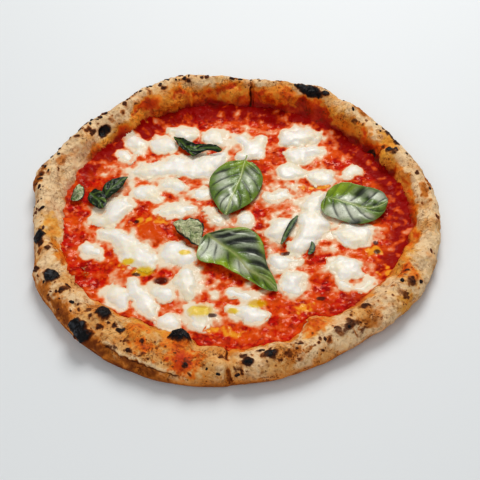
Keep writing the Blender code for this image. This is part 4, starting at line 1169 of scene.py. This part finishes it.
def build_leaf(name):
    """A thin blade between its midrib and two edges, resting on what lies under it."""
    middle, far, near = (smooth_line(line, LEAF_ROWS + 1) for line in LEAF_LINES[name])
    veins, depth, far_belly, near_belly, wave, crumple = LEAF_HABITS[name]
    bm = bmesh.new()
    bmesh.ops.create_grid(bm, x_segments=LEAF_COLUMNS, y_segments=LEAF_ROWS, size=1.0)
    v = np.array([vert.co.x for vert in bm.verts])
    u = np.array([vert.co.y for vert in bm.verts]) * 0.5 + 0.5
    row = np.rint(u * LEAF_ROWS).astype(int)
    column = np.rint((v * 0.5 + 0.5) * LEAF_COLUMNS).astype(int)
    out = np.abs(v)
    edge = np.where((v > 0)[:, None], far[row], near[row])
    points = middle[row] * (1 - out)[:, None] + edge * out[:, None]
    half_width = np.linalg.norm(edge - middle[row], axis=1)
    fullness = np.minimum(1.0, half_width / (10 * MM))
    rib = np.abs(np.sin(np.pi * (veins * (u - 0.28 * out) + np.where(v > 0, 0.0, 0.45))))
    fade = step(out, 0.02, 0.2) * (1 - 0.7 * step(out, 0.8, 1.0)) * fullness
    mid_groove = np.exp(-(out * half_width / (0.9 * MM)) ** 2)
    rise = np.where(v > 0, far_belly, near_belly) * np.sin(np.pi * out) * fullness
    rise += depth * (rib ** 0.8 - 0.5) * fade - 0.5 * depth * mid_groove * fullness
    rise += wave * lumps(points, 9, 81) * out ** 3 * fullness
    rise += crumple * (lumps(points, 4.5, 82) + 0.25 * lumps(points, 2.0, 83))
    points[:, 2] += rise * MM
    tops = [np.nan_to_num(height_on(tree, points[:, :2]), nan=0.0) for tree in (melt_tree, pulp_tree)]
    ground = np.zeros((LEAF_ROWS + 1, LEAF_COLUMNS + 1))
    ground[row, column] = np.maximum(*tops)
    points[:, 2] = np.maximum(points[:, 2], softened(ground, 4)[row, column] + LEAF_CLEARANCE)
    shares = {"groove": (1 - step(rib, 0.0, 0.55)) * fade, "midrib": mid_groove, "rim": step(out, 0.78, 1.0)}
    shares["crown"] = step(rib, 0.62, 0.95) * fade
    for key, ovals in (("bright", BRIGHT_GREEN), ("shaded", SHADED_GREEN), ("pale", PALE_GREEN)):
        shares[key] = np.max([oval[5] * oval_share(points, *oval[:5]) for oval in ovals], axis=0)
    layers = {key: bm.verts.layers.float.new(key) for key in shares}
    for number, vert in enumerate(bm.verts):
        vert.co = points[number]
        for key, values in shares.items():
            vert[layers[key]] = values[number]
    bm.normal_update()
    if sum(face.normal.z for face in bm.faces) < 0:
        bmesh.ops.reverse_faces(bm, faces=bm.faces)
    leaf = add_piece(bm, name)
    blade = leaf.modifiers.new("blade", "SOLIDIFY")
    blade.thickness = LEAF_THICKNESS
    blade.offset = -1.0
    apply_modifiers(leaf)
    leaf.data.shade_smooth()
    return leaf


LEAF_GREEN = tint(112, 140, 58)
DEEP_GREEN = tint(34, 54, 18)
SHADOW_GREEN = tint(14, 24, 10)
GREY_GREEN = tint(150, 164, 128)
BACKLIT_YOUNG_GREEN = tint(150, 176, 38)
SHEEN_GREEN = tint(222, 228, 208)
RIB_GREEN = tint(176, 186, 116)
CREAMY_GREEN = tint(208, 210, 168)
OLIVE = tint(104, 136, 58)
BURNT_AND_SHADE_GREEN = tint(30, 50, 24)
SOOT = tint(12, 18, 14)

fresh_finish, tree, shader = new_finish("fresh_leaf_finish", Roughness=0.3, Specular_IOR_Level=0.6)
broad = grain(tree, 8.0, detail=2.0, shift=0.5)
fine = grain(tree, 1.4)
shaded = share_of(tree, "shaded")
bright = share_of(tree, "bright")
colour = coats(tree, LEAF_GREEN, ((broad, 0.4, 0.65, 0.5, DEEP_GREEN), (shaded, 0.1, 0.65, 1.0, SHADOW_GREEN)))
lit_crown = times(tree, level(tree, shaded, 0.1, 0.65, 0.0, 0.6), share_of(tree, "crown"))
# Painted light: crowns inside shaded hollows are lit grey-green, and backlit blades go yellow-green
colour = layer(tree, bright, layer(tree, lit_crown, colour, GREY_GREEN), BACKLIT_YOUNG_GREEN)
# Painted sheen: fresh blades go near white where they reflect the sky
colour = coats(tree, colour, ((broken(tree, "pale", broad, 0.5), 0.45, 1.1, 1.0, SHEEN_GREEN),))
sunk = times(tree, share_of(tree, "groove"), level(tree, bright, 0.0, 1.0, 0.85, 0.25))
colour = layer(tree, sunk, colour, SHADOW_GREEN)
colour = layer(tree, times(tree, share_of(tree, "midrib"), 0.8), colour, RIB_GREEN)
colour = coats(tree, colour, ((fine, 0.5, 0.75, 0.3, DEEP_GREEN),))
tree.links.new(colour, shader.inputs["Base Color"])
dry = times(tree, shaded, 0.35)
tree.links.new(plus(tree, level(tree, fine, 0.35, 0.65, 0.22, 0.42), dry), shader.inputs["Roughness"])
roughen(tree, shader, fine, 0.35, 0.6)

baked_finish, tree, shader = new_finish("baked_leaf_finish", Roughness=0.42, Specular_IOR_Level=0.5)
broad = grain(tree, 3.2, shift=0.1)
fine = grain(tree, 1.2)
colour = layer(tree, level(tree, broad, 0.45, 0.66), CREAMY_GREEN, OLIVE)
# Painted shade: shaded hollows and vein grooves are darkened to burnt green; the pale share is the curled leaf's own
# cream
for name, most, over in (("pale", 0.9, CREAMY_GREEN), ("shaded", 0.8, BURNT_AND_SHADE_GREEN), ("groove", 0.75, BURNT_AND_SHADE_GREEN)):
    colour = layer(tree, times(tree, share_of(tree, name), most), colour, over)
charred = broken(tree, "rim", broad, 0.9)
colour = coats(tree, colour, (
    (charred, 0.56, 0.84, 0.95, BURNT_AND_SHADE_GREEN), (charred, 0.95, 1.4, 0.9, SOOT), (fine, 0.52, 0.72, 0.6, BURNT_AND_SHADE_GREEN),
))
tree.links.new(colour, shader.inputs["Base Color"])
roughen(tree, shader, plus(tree, fine, broad), 0.5, 0.7)

burnt_finish, tree, shader = new_finish("burnt_leaf_finish", Roughness=0.4, Specular_IOR_Level=0.4)
broad = grain(tree, 4.0, shift=0.8)
fine = grain(tree, 1.2)
green = plus(tree, times(tree, share_of(tree, "crown"), 0.5), broad)
colour = coats(tree, BURNT_AND_SHADE_GREEN, ((broad, 0.42, 0.6, 1.0, SOOT), (green, 0.62, 1.0, 0.85, LEAF_GREEN)))
colour = layer(tree, times(tree, share_of(tree, "midrib"), 0.6), colour, OLIVE)
tree.links.new(colour, shader.inputs["Base Color"])
roughen(tree, shader, plus(tree, times(tree, fine, 0.3), broad), 0.5, 0.6)

LEAF_FINISHES = {
    "fresh_basil": (fresh_finish, ("basil_top", "basil_right", "basil_folded")),
    "baked_basil": (baked_finish, ("basil_curled", "basil_bit_by_rim")),
    "burnt_basil": (burnt_finish, ("basil_burnt_strip", "basil_burnt_blade", "basil_burnt_lobe",
                                   "basil_thin_strip", "basil_small_edge")),
}
for slot, (finish, names) in LEAF_FINISHES.items():
    for name in names:
        leaf = build_leaf(name)
        leaf.name = name.replace("basil", "leaf")
        leaf.data.materials.append(finish)
        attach(leaf, "root")
        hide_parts(name)

# Camera and stage
# The pizza stands on a plain pale floor, seen from the front and above, in soft light that comes
# mostly from behind it.
VIEW_ELEVATION = math.radians(49.8)
VIEW_ROLL = math.radians(-2.4)
CAMERA_PLACE = (-0.002604, -0.52123, 0.60570)
FIELD_OF_VIEW = math.radians(27)
FRAME_SHIFT = (0.01625, -0.0198)
FLOOR_SIZE = 8.0

back = Vector((0, -math.cos(VIEW_ELEVATION), math.sin(VIEW_ELEVATION)))
rising = Vector((0, math.sin(VIEW_ELEVATION), math.cos(VIEW_ELEVATION)))
across = Vector((1, 0, 0))
camera_x = across * math.cos(VIEW_ROLL) + rising * math.sin(VIEW_ROLL)
camera_y = rising * math.cos(VIEW_ROLL) - across * math.sin(VIEW_ROLL)
turned = Matrix((camera_x, camera_y, back)).transposed().to_4x4()
lens = bpy.data.cameras.new("camera")
lens.angle = FIELD_OF_VIEW
lens.shift_x, lens.shift_y = FRAME_SHIFT
camera = bpy.data.objects.new("camera", lens)
camera.matrix_world = Matrix.Translation(CAMERA_PLACE) @ turned
bpy.context.scene.collection.objects.link(camera)
bpy.context.scene.camera = camera

bm = bmesh.new()
bmesh.ops.create_grid(bm, x_segments=1, y_segments=1, size=FLOOR_SIZE)
floor = add_piece(bm, "floor")
floor_finish, tree, shader = new_finish("floor_finish", Roughness=0.6)
shader.inputs["Base Color"].default_value = tint(231, 235, 238)
floor.data.materials.append(floor_finish)


def add_light(name, place, aim, size, power, colour=(1.0, 1.0, 1.0)):
    lamp = bpy.data.lights.new(name, "AREA")
    lamp.shape = "DISK"
    lamp.size = size
    lamp.energy = power
    lamp.color = colour
    light = bpy.data.objects.new(name, lamp)
    light.location = place
    light.rotation_euler = (Vector(aim) - Vector(place)).to_track_quat("-Z", "Y").to_euler()
    bpy.context.scene.collection.objects.link(light)


add_light("window", (0.25, 1.0, 1.25), (0, 0, 0), 0.9, 14.0, (1.0, 0.99, 0.97))
add_light("front_fill", (-0.5, -1.2, 1.1), (0, 0, 0), 1.4, 5.6)
world = bpy.data.worlds.new("studio")
world.use_nodes = True
world.node_tree.nodes["Background"].inputs["Color"].default_value = (1.0, 0.99, 0.97, 1.0)
world.node_tree.nodes["Background"].inputs["Strength"].default_value = 0.3
bpy.context.scene.world = world
bpy.context.scene.view_settings.view_transform = "Standard"
bpy.context.scene.view_settings.look = "Medium High Contrast"
